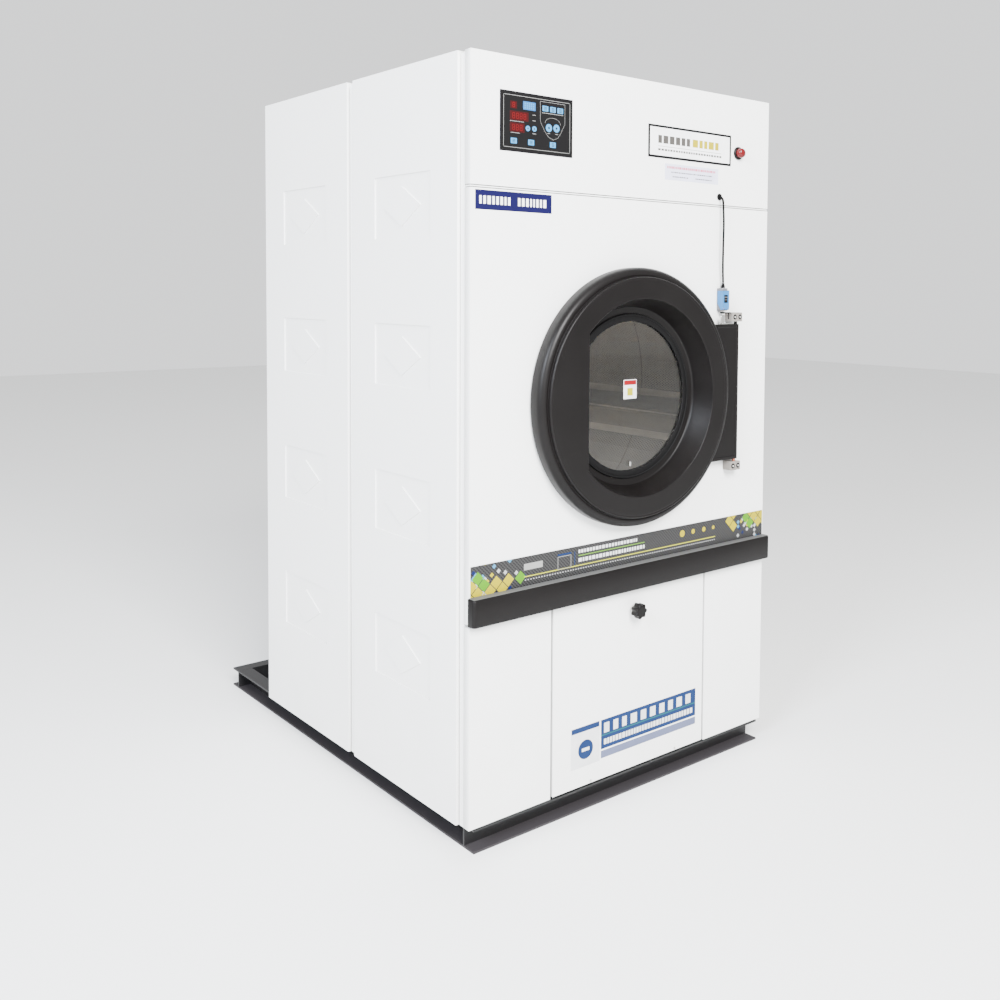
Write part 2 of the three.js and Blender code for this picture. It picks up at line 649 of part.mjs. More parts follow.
// A grooved wheel whose web has six lightening holes.
function drumPulley() {
  const bore = SHAFT_R + GAP;
  const rim = PULLEY_R + 10;
  const groove = [
    [rim, PULLEY_Y - 12.5], [PULLEY_R, PULLEY_Y - 8],
    [PULLEY_R, PULLEY_Y + 8], [rim, PULLEY_Y + 12.5],
  ];
  const wheel = turned([
    [bore, PULLEY_Y - 20], [48, PULLEY_Y - 20], [48, PULLEY_Y - 5], [228, PULLEY_Y - 5], [228, PULLEY_Y - 15],
    [rim, PULLEY_Y - 15], ...groove, [rim, PULLEY_Y + 15], [228, PULLEY_Y + 15], [228, PULLEY_Y + 5],
    [48, PULLEY_Y + 5], [48, PULLEY_Y + 20], [bore, PULLEY_Y + 20],
  ], MEDIUM_ROUND);
  const holes = [];
  for (let i = 0; i < 6; i += 1) {
    const turn = (i / 6) * 2 * Math.PI;
    const at = [138 * Math.cos(turn), 138 * Math.sin(turn)];
    holes.push(rodY(48, [PULLEY_Y - 30, PULLEY_Y + 30], at, 16));
  }
  return cut(wheel, ...holes);
}

function addDrumSurround() {
  const collar = turned([[264, 2], [300, 2], [300, 3.5], [265.5, 3.5], [265.5, 56], [264, 56]]);
  piece(machine, 'loading_collar', toOutward(collar), GALVANISED, [AXIS_X, 0, AXIS_Z]);
  const outer = 434;
  const casing = turned([
    [285, 46], [outer, 46], [outer, 900], [75, 900],
    [75, 898.5], [outer - 1.5, 898.5], [outer - 1.5, 47.5], [285, 47.5],
  ], MEDIUM_ROUND);
  const airIn = box([-150, 150], [260, 700], [300, 500]);
  const airOut = box([-190, 190], [90, 440], [-500, -300]);
  piece(machine, 'drum_housing', cut(casing, airIn, airOut), GALVANISED, [AXIS_X, 0, AXIS_Z]);
  const heater = tray([[-200, 200], [230, 730], [AXIS_Z + outer + 4, 1700]], 2, -1);
  piece(machine, 'heater_box', cut(heater, box([-150, 150], [700, 740], [1480, 1660])), GALVANISED);
  const bearing = join(
    rodY(54, [925, 1056], [AXIS_X, AXIS_Z], 24),
    box([AXIS_X - 125, AXIS_X + 125], [993, 1005], [AXIS_Z - 125, AXIS_Z + 125]),
  );
  const bore = rodY(SHAFT_R + 0.8, [900, 1070], [AXIS_X, AXIS_Z], BIG_ROUND);
  piece(machine, 'bearing_housing', cut(bearing, bore), CAST_IRON);
}

// ---------------------------------------------------------------- drive and fan behind the cabinet
// The loop around two circles: big at the origin, small at (dx, dz).
function loopShape(bigR, smallR, dx, dz, sense) {
  const apart = Math.hypot(dx, dz);
  const heading = Math.atan2(dz, dx);
  const wrap = Math.acos((bigR - smallR) / apart);
  const shape = sense > 0 ? new THREE.Shape() : new THREE.Path();
  shape.absarc(0, 0, bigR, heading + wrap, heading - wrap + 2 * Math.PI, false);
  shape.absarc(dx, dz, smallR, heading - wrap, heading + wrap, false);
  shape.closePath();
  return shape;
}

function addDrive() {
  const dx = MOTOR_X - AXIS_X;
  const dz = MOTOR_Z - AXIS_Z;
  const inner = [PULLEY_R + BELT_SLACK, MOTOR_PULLEY_R + BELT_SLACK];
  const loop = loopShape(inner[0] + BELT_THICK, inner[1] + BELT_THICK, dx, dz, 1);
  loop.holes.push(loopShape(inner[0], inner[1], dx, dz, -1));
  const halfWidth = BELT_WIDTH / 2;
  const belt = extrudeY(loop, [PULLEY_Y - halfWidth, PULLEY_Y + halfWidth], 24);
  piece(machine, 'drive_belt', toOutward(belt), BLACK_RUBBER, [AXIS_X, 0, AXIS_Z]);

  const rim = MOTOR_PULLEY_R + 10;
  const wheel = turned([
    [0, PULLEY_Y - 17], [rim, PULLEY_Y - 17], [rim, PULLEY_Y - 12.5], [MOTOR_PULLEY_R, PULLEY_Y - 8],
    [MOTOR_PULLEY_R, PULLEY_Y + 8], [rim, PULLEY_Y + 12.5], [rim, PULLEY_Y + 17], [14, PULLEY_Y + 17],
    [14, 1112], [0, 1112],
  ], 24);
  piece(machine, 'motor_pulley', toOutward(wheel), CAST_IRON, [MOTOR_X, 0, MOTOR_Z]);
  piece(machine, 'drive_motor', motorSolid(82, [1116, 1340], 110), MOTOR_BLUE, [MOTOR_X, 0, MOTOR_Z]);
}

// A round motor with two feet, a terminal box on top and a fan cowl at its far end.
function motorSolid(radius, [y0, y1], drop) {
  const length = y1 - y0;
  return join(
    rodY(radius, [y0, y1 - 45], [0, 0], 24),
    rodY(radius + 6, [y1 - 50, y1], [0, 0], 24),
    rodY(radius * 0.6, [y0 - 0.01, y0 + 10], [0, 0], 24),
    box([-radius, radius], [y0 + 20, y0 + length * 0.6], [-drop, -radius * 0.55]),
    box([-42, 42], [y0 + 30, y0 + 120], [radius * 0.8, radius + 32]),
  );
}

// The fan's scroll with its upright outlet, all faces moved in by inset.
function scrollSolid(inset) {
  const round = new THREE.Shape();
  round.absarc(0, 0, SCROLL_R - inset, 0, 2 * Math.PI);
  const y = [FAN_Y[0] + inset, FAN_Y[1] - inset];
  const open = inset > 0 ? 10 : 0;
  return join(
    extrudeY(round, y, 18),
    box([OUTLET_X[0] + inset, OUTLET_X[1] - inset], y, [0, OUTLET_TOP + open]),
  );
}

function addFan() {
  const fan = groupAt(machine, FAN_X, 0, FAN_Z);
  const wall = 3;
  const rim = 18;
  const rimX = [OUTLET_X[0] - rim, OUTLET_X[1] + rim];
  const flange = box(rimX, [DEPTH + 1, 1172], [OUTLET_TOP - 6, OUTLET_TOP]);
  const inlet = rodY(DUCT_R - 4, [FAN_Y[0] - 10, FAN_Y[0] + 10], [0, 0], 24);
  const shaftHole = rodY(17, [FAN_Y[1] - 10, FAN_Y[1] + 10], [0, 0], 16);
  const housing = cut(join(scrollSolid(0), flange), scrollSolid(wall), inlet, shaftHole);
  piece(fan, 'fan_housing', housing, GALVANISED);

  const backPlate = rodY(128, [1138, 1141], [0, 0], 24);
  const shaft = rodY(15, [1100, 1165], [0, 0], 16);
  const blades = [];
  for (let i = 0; i < 10; i += 1) {
    const blade = box([62, 122], [1062, 1139], [-1.5, 1.5]);
    blade.translate(-62, 0, 0).rotateY(0.6).translate(62, 0, 0);
    blades.push(blade.rotateY((i / 10) * 2 * Math.PI));
  }
  piece(fan, 'fan_impeller', join(backPlate, shaft, ...blades), GALVANISED);
  piece(fan, 'fan_motor', motorSolid(70, [1168, 1330], FAN_Z - PANEL_Z - 6 - GAP), MOTOR_BLUE);
}

addBase();
addFrame();
addSideAndTopPanels();
addRearPanel();
addFrontPanels();
addBumper();
addLintDoor();
addLintCompartment();
addDoor();
addHingeBlocks();
addSwitch();
addControls();
addDrum();
addDrumSurround();
addDrive();
addFan();

export default machine;
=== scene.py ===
"""Looks of a commercial tumble dryer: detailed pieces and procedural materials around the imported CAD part.

Lengths are millimetres measured as in the part's own source: X to the right, Y from the front face of the
front panels to the back, Z up from the floor. at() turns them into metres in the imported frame.
"""
import json
import math
import random
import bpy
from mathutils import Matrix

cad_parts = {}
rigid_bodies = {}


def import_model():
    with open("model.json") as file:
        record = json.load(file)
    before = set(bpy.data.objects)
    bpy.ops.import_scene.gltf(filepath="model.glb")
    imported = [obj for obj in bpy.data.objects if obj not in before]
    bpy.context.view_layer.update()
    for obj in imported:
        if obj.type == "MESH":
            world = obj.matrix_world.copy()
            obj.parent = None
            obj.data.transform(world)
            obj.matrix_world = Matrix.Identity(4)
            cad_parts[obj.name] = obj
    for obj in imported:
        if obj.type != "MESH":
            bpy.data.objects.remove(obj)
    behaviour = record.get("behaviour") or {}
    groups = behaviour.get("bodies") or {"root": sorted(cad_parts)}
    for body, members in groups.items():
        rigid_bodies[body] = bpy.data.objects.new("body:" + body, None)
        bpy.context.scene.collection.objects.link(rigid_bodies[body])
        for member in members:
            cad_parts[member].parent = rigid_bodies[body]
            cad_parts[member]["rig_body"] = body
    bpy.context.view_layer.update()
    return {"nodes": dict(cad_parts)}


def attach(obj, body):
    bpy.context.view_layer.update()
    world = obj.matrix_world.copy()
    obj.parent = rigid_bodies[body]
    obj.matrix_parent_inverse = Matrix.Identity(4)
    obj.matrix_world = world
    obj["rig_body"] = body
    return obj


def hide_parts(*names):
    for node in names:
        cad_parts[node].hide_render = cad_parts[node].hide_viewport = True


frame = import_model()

from types import SimpleNamespace

import bmesh
import bpy
from mathutils import Matrix, Vector

# ---------------------------------------------------------------- driving dimensions
FRONT_Y = -650.5  # the front face of the front panels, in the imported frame
REAR_Y = 1040  # the outer face of the rear panel
TOP = 1800
SIDE = 505  # outer face of the side panels
PANEL_BOTTOM = 56.4
COLUMNS = {"front": (38, 518), "rear": (544, REAR_Y)}  # the side and top panels, from front to back
PANEL_HALF = 500  # half the width of the front panels
LOWER_TOP = 521.5  # upper edge of the lint door and the lower panels
FOLD = 20  # depth of the side and top panels' folded edges
FRONT_FOLD = 21  # and of the front panels'
SHEET = 1.2  # thickness of the folded sheets
CABLE_WIDTH = 6
AXIS_X, AXIS_Z = -14, 1011  # door and drum
DOOR_FACE = -53.6  # the door ring's flat face
GRIP_X = -184  # the grip's straight edge, from the door's axis
MOUTH = 246  # radius of the funnel's mouth
HINGE_X, HINGE_Y = 350, -20
HINGE_LOW, HINGE_HIGH = 821, 1187
DRUM_RADIUS = 418
LIFTER_ANGLES = (-14.5, 105.5, 225.5)
LAMP_X, LAMP_Z = 372, 1648
KNOB_Z = 470
SWITCH_X, SWITCH_Y = 306, -12
CABLE_HOLE = (300, 1526)
FAN_X, FAN_Z = -150, 330
MOTOR_X, MOTOR_Z = 235, 175
MEMBRANE = (-419, -211, 1586, 1719)  # the control film's left, right, lower and upper edge
BAND = (-495, 495, 589, 658)  # the printed band's
CABLE = [
    (307, -12, 1297.5), (306.6, -12.2, 1303), (305, -13, 1316), (302.6, -14.6, 1336), (300.8, -16, 1358),
    (300, -17, 1382), (300, -17.4, 1406), (300.6, -17.4, 1430), (301.2, -17, 1454), (301.2, -16.2, 1476),
    (300.8, -15.4, 1494), (300.3, -15, 1508), (300, -13.9, 1516.7), (300, -10.6, 1521.6), (300, -5.7, 1524.9),
    (300, 0.5, 1526),
]
# the two ends of each of a display digit's seven bars, across and up, in half heights
SEGMENTS = [(0, 2, 1, 2), (0, 1, 1, 1), (0, 0, 1, 0), (0, 1, 0, 2), (1, 1, 1, 2), (0, 0, 0, 1), (1, 0, 1, 1)]
# the colour of each ink and clear plastic, and a slot name kept with it
INKS = {
    "film": ("black_plastic", (0.0028, 0.0026, 0.0028)),
    "edge": ("switch_grey", (0.008, 0.008, 0.02)),
    "bright": ("printed_foil", (0.9, 0.9, 0.9)),
    "display": ("red_lens", (0.028, 0.0012, 0.0015)),
    "digit": ("red_lens", (0.12, 0.003, 0.004)),
    "lcd": ("switch_blue", (0.02, 0.10, 0.25)),
    "key": ("switch_blue", (0.045, 0.20, 0.38)),
    "white": ("white_enamel", (0.62, 0.62, 0.62)),
    "paper": ("printed_foil", (0.66, 0.66, 0.67)),
    "navy": ("printed_foil", (0.0035, 0.0025, 0.036)),
    "royal": ("switch_blue", (0.003, 0.018, 0.075)),
    "grey": ("switch_grey", (0.06, 0.055, 0.05)),
    "pink": ("printed_foil", (0.55, 0.13, 0.2)),
    "amber": ("printed_foil", (0.34, 0.28, 0.002)),
    "teal": ("switch_blue", (0.004, 0.08, 0.09)),
    "lavender": ("printed_foil", (0.62, 0.63, 0.76)),
    "red": ("red_lens", (0.20, 0.002, 0.006)),
    "green": ("printed_foil", (0.12, 0.30, 0.01)),
    "tag": ("switch_grey", (0.24, 0.24, 0.23)),
    "orange": ("switch_blue", (0.5, 0.12, 0.01)),
    "strip": ("printed_foil", (0.10, 0.115, 0.19)),
    "yellow": ("printed_foil", (0.36, 0.32, 0.001)),
    # grey painted highlight: the light along the bumper moulding's rounded top edge
    "trim": ("bright_steel", (0.085, 0.085, 0.083)),
}


def at(x, y, z):
    """A point of the drawing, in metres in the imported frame."""
    return Vector((x, y + FRONT_Y, z)) / 1000


# ---------------------------------------------------------------- camera
def add_camera():
    yaw, pitch, roll = (math.radians(a) for a in (41.177, -2.79, 0.49))
    forward = Vector((math.sin(yaw) * math.cos(pitch), math.cos(yaw) * math.cos(pitch), math.sin(pitch)))
    right = Vector((math.cos(yaw), -math.sin(yaw), 0))
    up = right.cross(forward)
    across = right * math.cos(roll) + up * math.sin(roll)
    above = up * math.cos(roll) - right * math.sin(roll)
    data = bpy.data.cameras.new("camera")
    data.lens = 38.48
    data.shift_x = -0.1006
    data.shift_y = -0.1586
    camera = bpy.data.objects.new("camera", data)
    turn = Matrix((across, above, -forward)).transposed().to_4x4()
    camera.matrix_world = Matrix.Translation((-1.8253, -2.6043, 1.2773)) @ turn
    bpy.context.scene.collection.objects.link(camera)
    bpy.context.scene.camera = camera


# ---------------------------------------------------------------- shader nodes
class Field:
    """A number or colour that shader nodes work out at each shaded point, so that it reads as arithmetic."""

    def __init__(self, tree, socket):
        self.tree = tree
        self.socket = socket

    def math(self, operation, *values):
        node = self.tree.nodes.new("ShaderNodeMath")
        node.operation = operation
        for socket, value in zip(node.inputs, (self, *values)):
            fill(self.tree, socket, value)
        return Field(self.tree, node.outputs[0])

    def __add__(self, other):
        return self.math("ADD", other)

    def __sub__(self, other):
        return self.math("SUBTRACT", other)

    def __mul__(self, other):
        return self.math("MULTIPLY", other)

    def __truediv__(self, other):
        return self.math("DIVIDE", other)

    def size(self):
        return self.math("ABSOLUTE")

    def whole(self):
        return self.math("FLOOR")

    def part(self):
        return self.math("FRACT")

    def rest(self, step):
        return self.math("FLOORED_MODULO", step)

    def near(self, middle, half):
        """1 where this is within half of middle, else 0."""
        return self.math("COMPARE", middle, half)

    def spread(self, low, high, to_low, to_high):
        """Runs evenly from to_low to to_high while this runs from low to high, and stops there."""
        node = self.tree.nodes.new("ShaderNodeMapRange")
        for name, value in (("Value", self), ("From Min", low), ("From Max", high), ("To Min", to_low),
                            ("To Max", to_high)):
            fill(self.tree, node.inputs[name], value)
        return Field(self.tree, node.outputs[0])

    def blend(self, first, second):
        """A colour between two, by this share."""
        node = self.tree.nodes.new("ShaderNodeMix")
        node.data_type = "RGBA"
        for socket, value in zip((node.inputs[0], node.inputs[6], node.inputs[7]), (self, first, second)):
            fill(self.tree, socket, value)
        return Field(self.tree, node.outputs[2])


def fill(tree, socket, value):
    """Joins a socket to a field, or sets its number or colour."""
    if isinstance(value, Field):
        tree.links.new(value.socket, socket)
    elif isinstance(value, tuple):
        socket.default_value = (*value, 1)
    else:
        socket.default_value = value


def new_material(name, color, roughness, metallic=0.0, gloss=None):
    """A material with one Principled shader; returns it with its tree and that shader."""
    material = bpy.data.materials.new(name)
    material.use_nodes = True
    tree = material.node_tree
    shader = tree.nodes["Principled BSDF"]
    fill(tree, shader.inputs["Base Color"], color)
    shader.inputs["Roughness"].default_value = roughness
    shader.inputs["Metallic"].default_value = metallic
    if gloss is not None:
        shader.inputs["Specular IOR Level"].default_value = gloss
    return material, tree, shader


def finish(shader, color, roughness, height, distance, strength):
    """Joins a material's fields to its shader; the colour or the roughness may be left as it is."""
    tree = height.tree
    if color:
        fill(tree, shader.inputs["Base Color"], color)
    if roughness:
        fill(tree, shader.inputs["Roughness"], roughness)
    node = tree.nodes.new("ShaderNodeBump")
    node.inputs["Strength"].default_value = strength
    node.inputs["Distance"].default_value = distance
    fill(tree, node.inputs["Height"], height)
    tree.links.new(node.outputs[0], shader.inputs["Normal"])


def place(tree):
    """X, Y and Z of the shaded point in the object's own space."""
    coordinates = tree.nodes.new("ShaderNodeTexCoord")
    split = tree.nodes.new("ShaderNodeSeparateXYZ")
    tree.links.new(coordinates.outputs["Object"], split.inputs[0])
    return [Field(tree, output) for output in split.outputs]


def noise(tree, scale, detail=2.0, stretch=(1, 1, 1), rough=0.5):
    coordinates = tree.nodes.new("ShaderNodeTexCoord")
    mapping = tree.nodes.new("ShaderNodeMapping")
    mapping.inputs["Scale"].default_value = stretch
    texture = tree.nodes.new("ShaderNodeTexNoise")
    texture.inputs["Scale"].default_value = scale
    texture.inputs["Detail"].default_value = detail
    texture.inputs["Roughness"].default_value = rough
    tree.links.new(coordinates.outputs["Object"], mapping.inputs["Vector"])
    tree.links.new(mapping.outputs[0], texture.inputs["Vector"])
    return Field(tree, texture.outputs["Fac"])


def stepped(value, colors):
    """One of the colours by value, in equal steps."""
    ramp = value.tree.nodes.new("ShaderNodeValToRGB")
    ramp.color_ramp.interpolation = "CONSTANT"
    elements = ramp.color_ramp.elements
    while len(elements) < len(colors):
        elements.new(0.5)
    for i, color in enumerate(colors):
        elements[i].position = i / len(colors)
        elements[i].color = (*color, 1)
    fill(value.tree, ramp.inputs[0], value)
    return Field(value.tree, ramp.outputs[0])


# ---------------------------------------------------------------- materials
def enamel():
    """Stoved white enamel: a faint orange peel, slow variation in gloss, and painted shade that darkens it in blotches
    towards the floor.
    """
    white = (0.80, 0.80, 0.785)
    material, tree, shader = new_material("white_enamel", white, 0.4)
    # painted shade: darker in blotches from half a metre down towards the floor
    floor_shade = place(tree)[2].spread(0.05, 0.5, 0.5, 0) * noise(tree, 9, 6)
    finish(shader, floor_shade.blend(white, (0.60, 0.59, 0.56)), noise(tree, 5, 4).spread(0.3, 0.7, 0.33, 0.46),
           noise(tree, 420, 2), 0.00012, 0.5)
    return material


def coated_steel(name, color, worn_and_lit, roughness, wear, lit_and_worn_below=0):
    """Painted steel whose paint is rubbed off in patches; below the height lit_and_worn_below the paler colour covers
    nearly everything, standing for wear together with painted light on upward faces near the floor.
    """
    material, tree, shader = new_material(name, color, roughness, gloss=0.3)
    rubbed = noise(tree, 70, 8, rough=0.75).spread(0.95 - wear, 1.1 - wear, 0, 1)
    # painted light together with wear: below that height the mask is full, paling the lit bottom flanges
    if lit_and_worn_below:
        rubbed = rubbed.math("MAXIMUM", place(tree)[2].spread(lit_and_worn_below, lit_and_worn_below + 0.0004, 0.8, 0))
    finish(shader, rubbed.blend(color, worn_and_lit), rubbed.spread(0, 1, roughness, roughness + 0.25),
           noise(tree, 260, 3), 0.0002, 0.5)
    return material


def moulded(name, color, roughness, gloss):
    """Moulded plastic or rubber with a fine grain and slightly uneven gloss."""
    material, tree, shader = new_material(name, color, roughness, gloss=gloss)
    patch = noise(tree, 7, 4)
    lighter = tuple(c * 1.25 + 0.0004 for c in color)
    finish(shader, patch.blend(color, lighter), patch.spread(0.3, 0.7, roughness - 0.05, roughness + 0.07),
           noise(tree, 700, 2), 0.00004, 0.6)
    return material


def bare_metal(name, color, roughness, stretch=(1, 1, 1), scale=60):
    """Metal with brushing or rolling marks along the directions that stretch squeezes."""
    material, tree, shader = new_material(name, color, roughness, 1.0)
    grain = noise(tree, scale, 5, stretch, 0.65)
    darker = tuple(c * 0.72 for c in color)
    finish(shader, noise(tree, 6, 5).blend(darker, color),
           grain.spread(0.3, 0.7, roughness - 0.09, roughness + 0.12), grain, 0.00015, 0.5)
    return material


def perforated_steel():
    """The drum's skin: brushed stainless steel with staggered punched holes and a welded seam."""
    material, tree, shader = new_material("drum_skin", (0.45, 0.41, 0.36), 0.34, 1.0)
    x, y, z = place(tree)
    across = x - AXIS_X / 1000
    along = z - AXIS_Z / 1000
    radius = (across * across + along * along).math("SQRT")
    angle = along.math("ARCTAN2", across)
    pitch = 0.0075
    row_pitch = pitch * 0.866
    row = y / row_pitch
    column = angle * (DRUM_RADIUS / 1000) / pitch + row.whole().rest(2.0) * 0.5
    du = (column.part() - 0.5) * pitch
    dv = (row.part() - 0.5) * row_pitch
    reach = (du * du + dv * dv).math("SQRT")
    third = math.tau / 3
    from_lifter = ((angle + (third / 2 - math.radians(LIFTER_ANGLES[0]))).rest(third) - third / 2).size()
    punched = from_lifter.spread(math.radians(13), math.radians(24), 1.0, 0.3)
    on_wall = radius.math("GREATER_THAN", 0.40)
    hole = reach.spread(0.0013, 0.0019, 1, 0) * (on_wall * punched)
    streaks = noise(tree, 40, 5, (1, 0.2, 1), 0.6)
    steel = streaks.blend((0.36, 0.33, 0.29), (0.50, 0.46, 0.41))
    seams = from_lifter.near(math.radians(46), 0.003).math("MAXIMUM", y.near(-0.245, 0.0012))
    steel = seams.blend(steel, (0.16, 0.13, 0.11))
    finish(shader, hole.blend(steel, (0.02, 0.017, 0.015)), noise(tree, 14, 5).spread(0.3, 0.7, 0.34, 0.48),
           streaks - hole * 4.0, 0.0003, 0.6)
    return material


def window_glass(name, tint, shadow):
    """Clear glass that lets lamps through to what is behind it."""
    material, tree, shader = new_material(name, tint, 0.03)
    shader.inputs["Transmission Weight"].default_value = 1.0
    shader.inputs["IOR"].default_value = 1.45
    clear = tree.nodes.new("ShaderNodeBsdfTransparent")
    clear.inputs["Color"].default_value = (*shadow, 1)
    path = tree.nodes.new("ShaderNodeLightPath")
    mix = tree.nodes.new("ShaderNodeMixShader")
    for source, socket in ((path.outputs["Is Shadow Ray"], mix.inputs[0]), (shader.outputs[0], mix.inputs[1]),
                           (clear.outputs[0], mix.inputs[2]),
                           (mix.outputs[0], tree.nodes["Material Output"].inputs["Surface"])):
        tree.links.new(source, socket)
    return material


def lozenges(x, z, size):
    """A grid of lozenges: a share drawn at random for each, a mask with gaps between them, and X and Z of
    each one's middle."""
    cells = x.tree.nodes.new("ShaderNodeCombineXYZ")
    masks = []
    halves = []
    for k, line in enumerate(((x + z) / size, (x - z) / size)):
        cell = line.whole()
        fill(x.tree, cells.inputs[k], cell)
        masks.append(line.part().near(0.5, 0.46))
        halves.append((cell + 0.5) * (size / 2))
    pick = x.tree.nodes.new("ShaderNodeTexWhiteNoise")
    x.tree.links.new(cells.outputs[0], pick.inputs["Vector"])
    return Field(x.tree, pick.outputs["Value"]), masks[0] * masks[1], halves[0] + halves[1], halves[0] - halves[1]


def band_foil():
    """Printed foil: a woven carbon pattern, coloured lozenges thinning out from both ends, and two thin lines."""
    material, tree, shader = new_material("band_foil", (0.02, 0.02, 0.02), 0.4, gloss=0.15)
    x, _, z = place(tree)
    cell = 0.0022
    column, row = (x / cell).whole(), (z / cell).whole()
    threads = [turn.rest(4.0).math("LESS_THAN", 1.5) for turn in (column + row, column - row)]
    bright = threads[0].math("MAXIMUM", threads[1] * 0.5)
    color = bright.blend((0.0070, 0.0068, 0.0068), (0.031, 0.0305, 0.0305))
    yellow = (0.30, 0.25, 0.0003)
    small_inks = [(0.003, 0.008, 0.05), (0.05, 0.18, 0.30), (0.3, 0.3, 0.3), yellow]
    large_inks = [yellow, yellow, (0.06, 0.20, 0.001), yellow]
    half_length = BAND[1] / 1000
    middle_height = (BAND[2] + BAND[3]) / 2000
    for size, share, lowest, highest, inks in ((0.0125, 0.42, -0.05, 0.0, small_inks),
                                               (0.034, 1.1, -0.016, 0.008, large_inks)):
        pick, inside, middle_x, middle_z = lozenges(x, z, size)
        away = middle_x.size() * -1.0 + half_length
        rise = (middle_z - middle_height) * middle_x.math("SIGN")
        density = away.spread(0.02, 0.17, share, 0.0) * rise.spread(lowest, highest, 0, 1)
        shown = inside * pick.math("LESS_THAN", density)
        color = shown.blend(color, stepped((pick * 37.0).part(), inks))
    inner = x.near(-0.023, 0.324)
    color = (z.near(0.611, 0.0011) * inner).blend(color, (0.34, 0.34, 0.02))
    dashes = (x / 0.008).part().math("LESS_THAN", 0.45)
    color = (z.near(0.603, 0.0012) * dashes * inner).blend(color, (0.30, 0.30, 0.30))
    finish(shader, color, None, bright, 0.0002, 0.4)
    return material


def woven_mesh():
    """Fine wire cloth over dark openings, for the lint screen."""
    material, tree, shader = new_material("lint_mesh", (0.35, 0.35, 0.34), 0.45, 0.8)
    x, _, z = place(tree)
    wires = [((along / 0.0045).part() - 0.5).size().spread(0.18, 0.3, 1, 0) for along in (x, z)]
    wire = wires[0].math("MAXIMUM", wires[1])
    cloth = wire.blend((0.05, 0.05, 0.05), (0.45, 0.45, 0.44))
    dust = noise(tree, 12, 6).spread(0.45, 0.7, 0, 0.6)
    finish(shader, dust.blend(cloth, (0.42, 0.41, 0.40)), None, wire, 0.0006, 0.6)
    return material


def coloured(name, color, roughness=0.45, gloss=0.15):
    """Ink, film or clear coloured plastic with faint clouding."""
    material, tree, shader = new_material(name, color, roughness, gloss=gloss)
    darker = tuple(c * 0.75 for c in color)
    finish(shader, noise(tree, 30, 3).blend(darker, color), None, noise(tree, 500, 2), 0.00005, 0.3)
    return material




def make_looks():
    """Every finish by name: its material, and a slot name kept with it."""
    along_drum = (1, 0.15, 1)
    looks = {
        "enamel": (enamel(), "white_enamel"),
        "black": (moulded("door_black", (0.0030, 0.0025, 0.0024), 0.38, 0.12), "black_plastic"),
        "rubber": (moulded("black_rubber", (0.0030, 0.0029, 0.0030), 0.6, 0.08), "black_rubber"),
        "switch_blue": (moulded("switch_blue", (0.018, 0.10, 0.24), 0.3, 0.3), "switch_blue"),
        "switch_grey": (moulded("switch_grey", (0.09, 0.09, 0.10), 0.45, 0.3), "switch_grey"),
        "steel": (bare_metal("bright_steel", (0.62, 0.61, 0.58), 0.3, (1, 1, 12)), "bright_steel"),
        "copper": (bare_metal("copper", (0.62, 0.2, 0.12), 0.35), "bright_steel"),
        "zinc": (bare_metal("zinc_sheet", (0.55, 0.57, 0.58), 0.45, scale=18), "galvanised"),
        "drum": (perforated_steel(), "drum_steel"),
        "drum_plain": (bare_metal("drum_steel", (0.5, 0.46, 0.4), 0.36, along_drum), "drum_steel"),
        "rubbed": (bare_metal("rubbed_steel", (0.92, 0.89, 0.84), 0.46, along_drum), "drum_steel"),
        "iron": (coated_steel("cast_iron", (0.05, 0.055, 0.06), (0.2, 0.19, 0.18), 0.6, 0.4), "cast_iron"),
        # paled all over below 5.2 mm: wear together with painted light on the lit bottom flanges
        "base": (coated_steel("base_paint", (0.0055, 0.005, 0.0055), (0.024, 0.021, 0.023), 0.5, 0.33, 0.0052),
                 "black_steel"),
        "casting": (coated_steel("hinge_casting", (0.17, 0.155, 0.14), (0.11, 0.10, 0.09), 0.5, 0.4),
                    "bright_steel"),
        "motor": (coated_steel("motor_paint", (0.03, 0.07, 0.13), (0.12, 0.13, 0.14), 0.4, 0.32), "motor_paint"),
        "glass": (window_glass("door_glass", (0.86, 0.84, 0.80), (0.8, 0.78, 0.74)), "clear_glass"),
        "lens": (coloured("lamp_lens", (0.10, 0.002, 0.003), 0.2, 0.3), "red_lens"),
        "foil": (band_foil(), "printed_foil"),
        "mesh": (woven_mesh(), "drum_steel"),
    }
    for name, (slot, color) in INKS.items():
        looks[name] = (coloured(name, color), slot)
    return SimpleNamespace(**looks)


def paint_cad_nodes(look):
    """The CAD nodes that stay in view as they are."""
    shown = (
        (look.base, "base_channel_front base_channel_rear base_channel_left base_channel_right drive_bed"),
        (look.black, "switch_lever"),
        (look.rubber, "drive_belt"),
        (look.mesh, "lint_screen"),
        (look.drum, "drum_shell"),
        (look.drum_plain, "drum_back_and_shaft"),
        (look.enamel, "cabinet_frame rear_panel"),
        (look.zinc, "lint_box air_duct control_box loading_collar drum_housing heater_box fan_housing"),
        (look.zinc, "fan_impeller"),
        (look.iron, "drum_pulley motor_pulley bearing_housing"),
    )
    for (material, _), nodes in shown:
        for node in nodes.split():
            mesh = frame["nodes"][node].data
            mesh.materials.clear()
            mesh.materials.append(material)


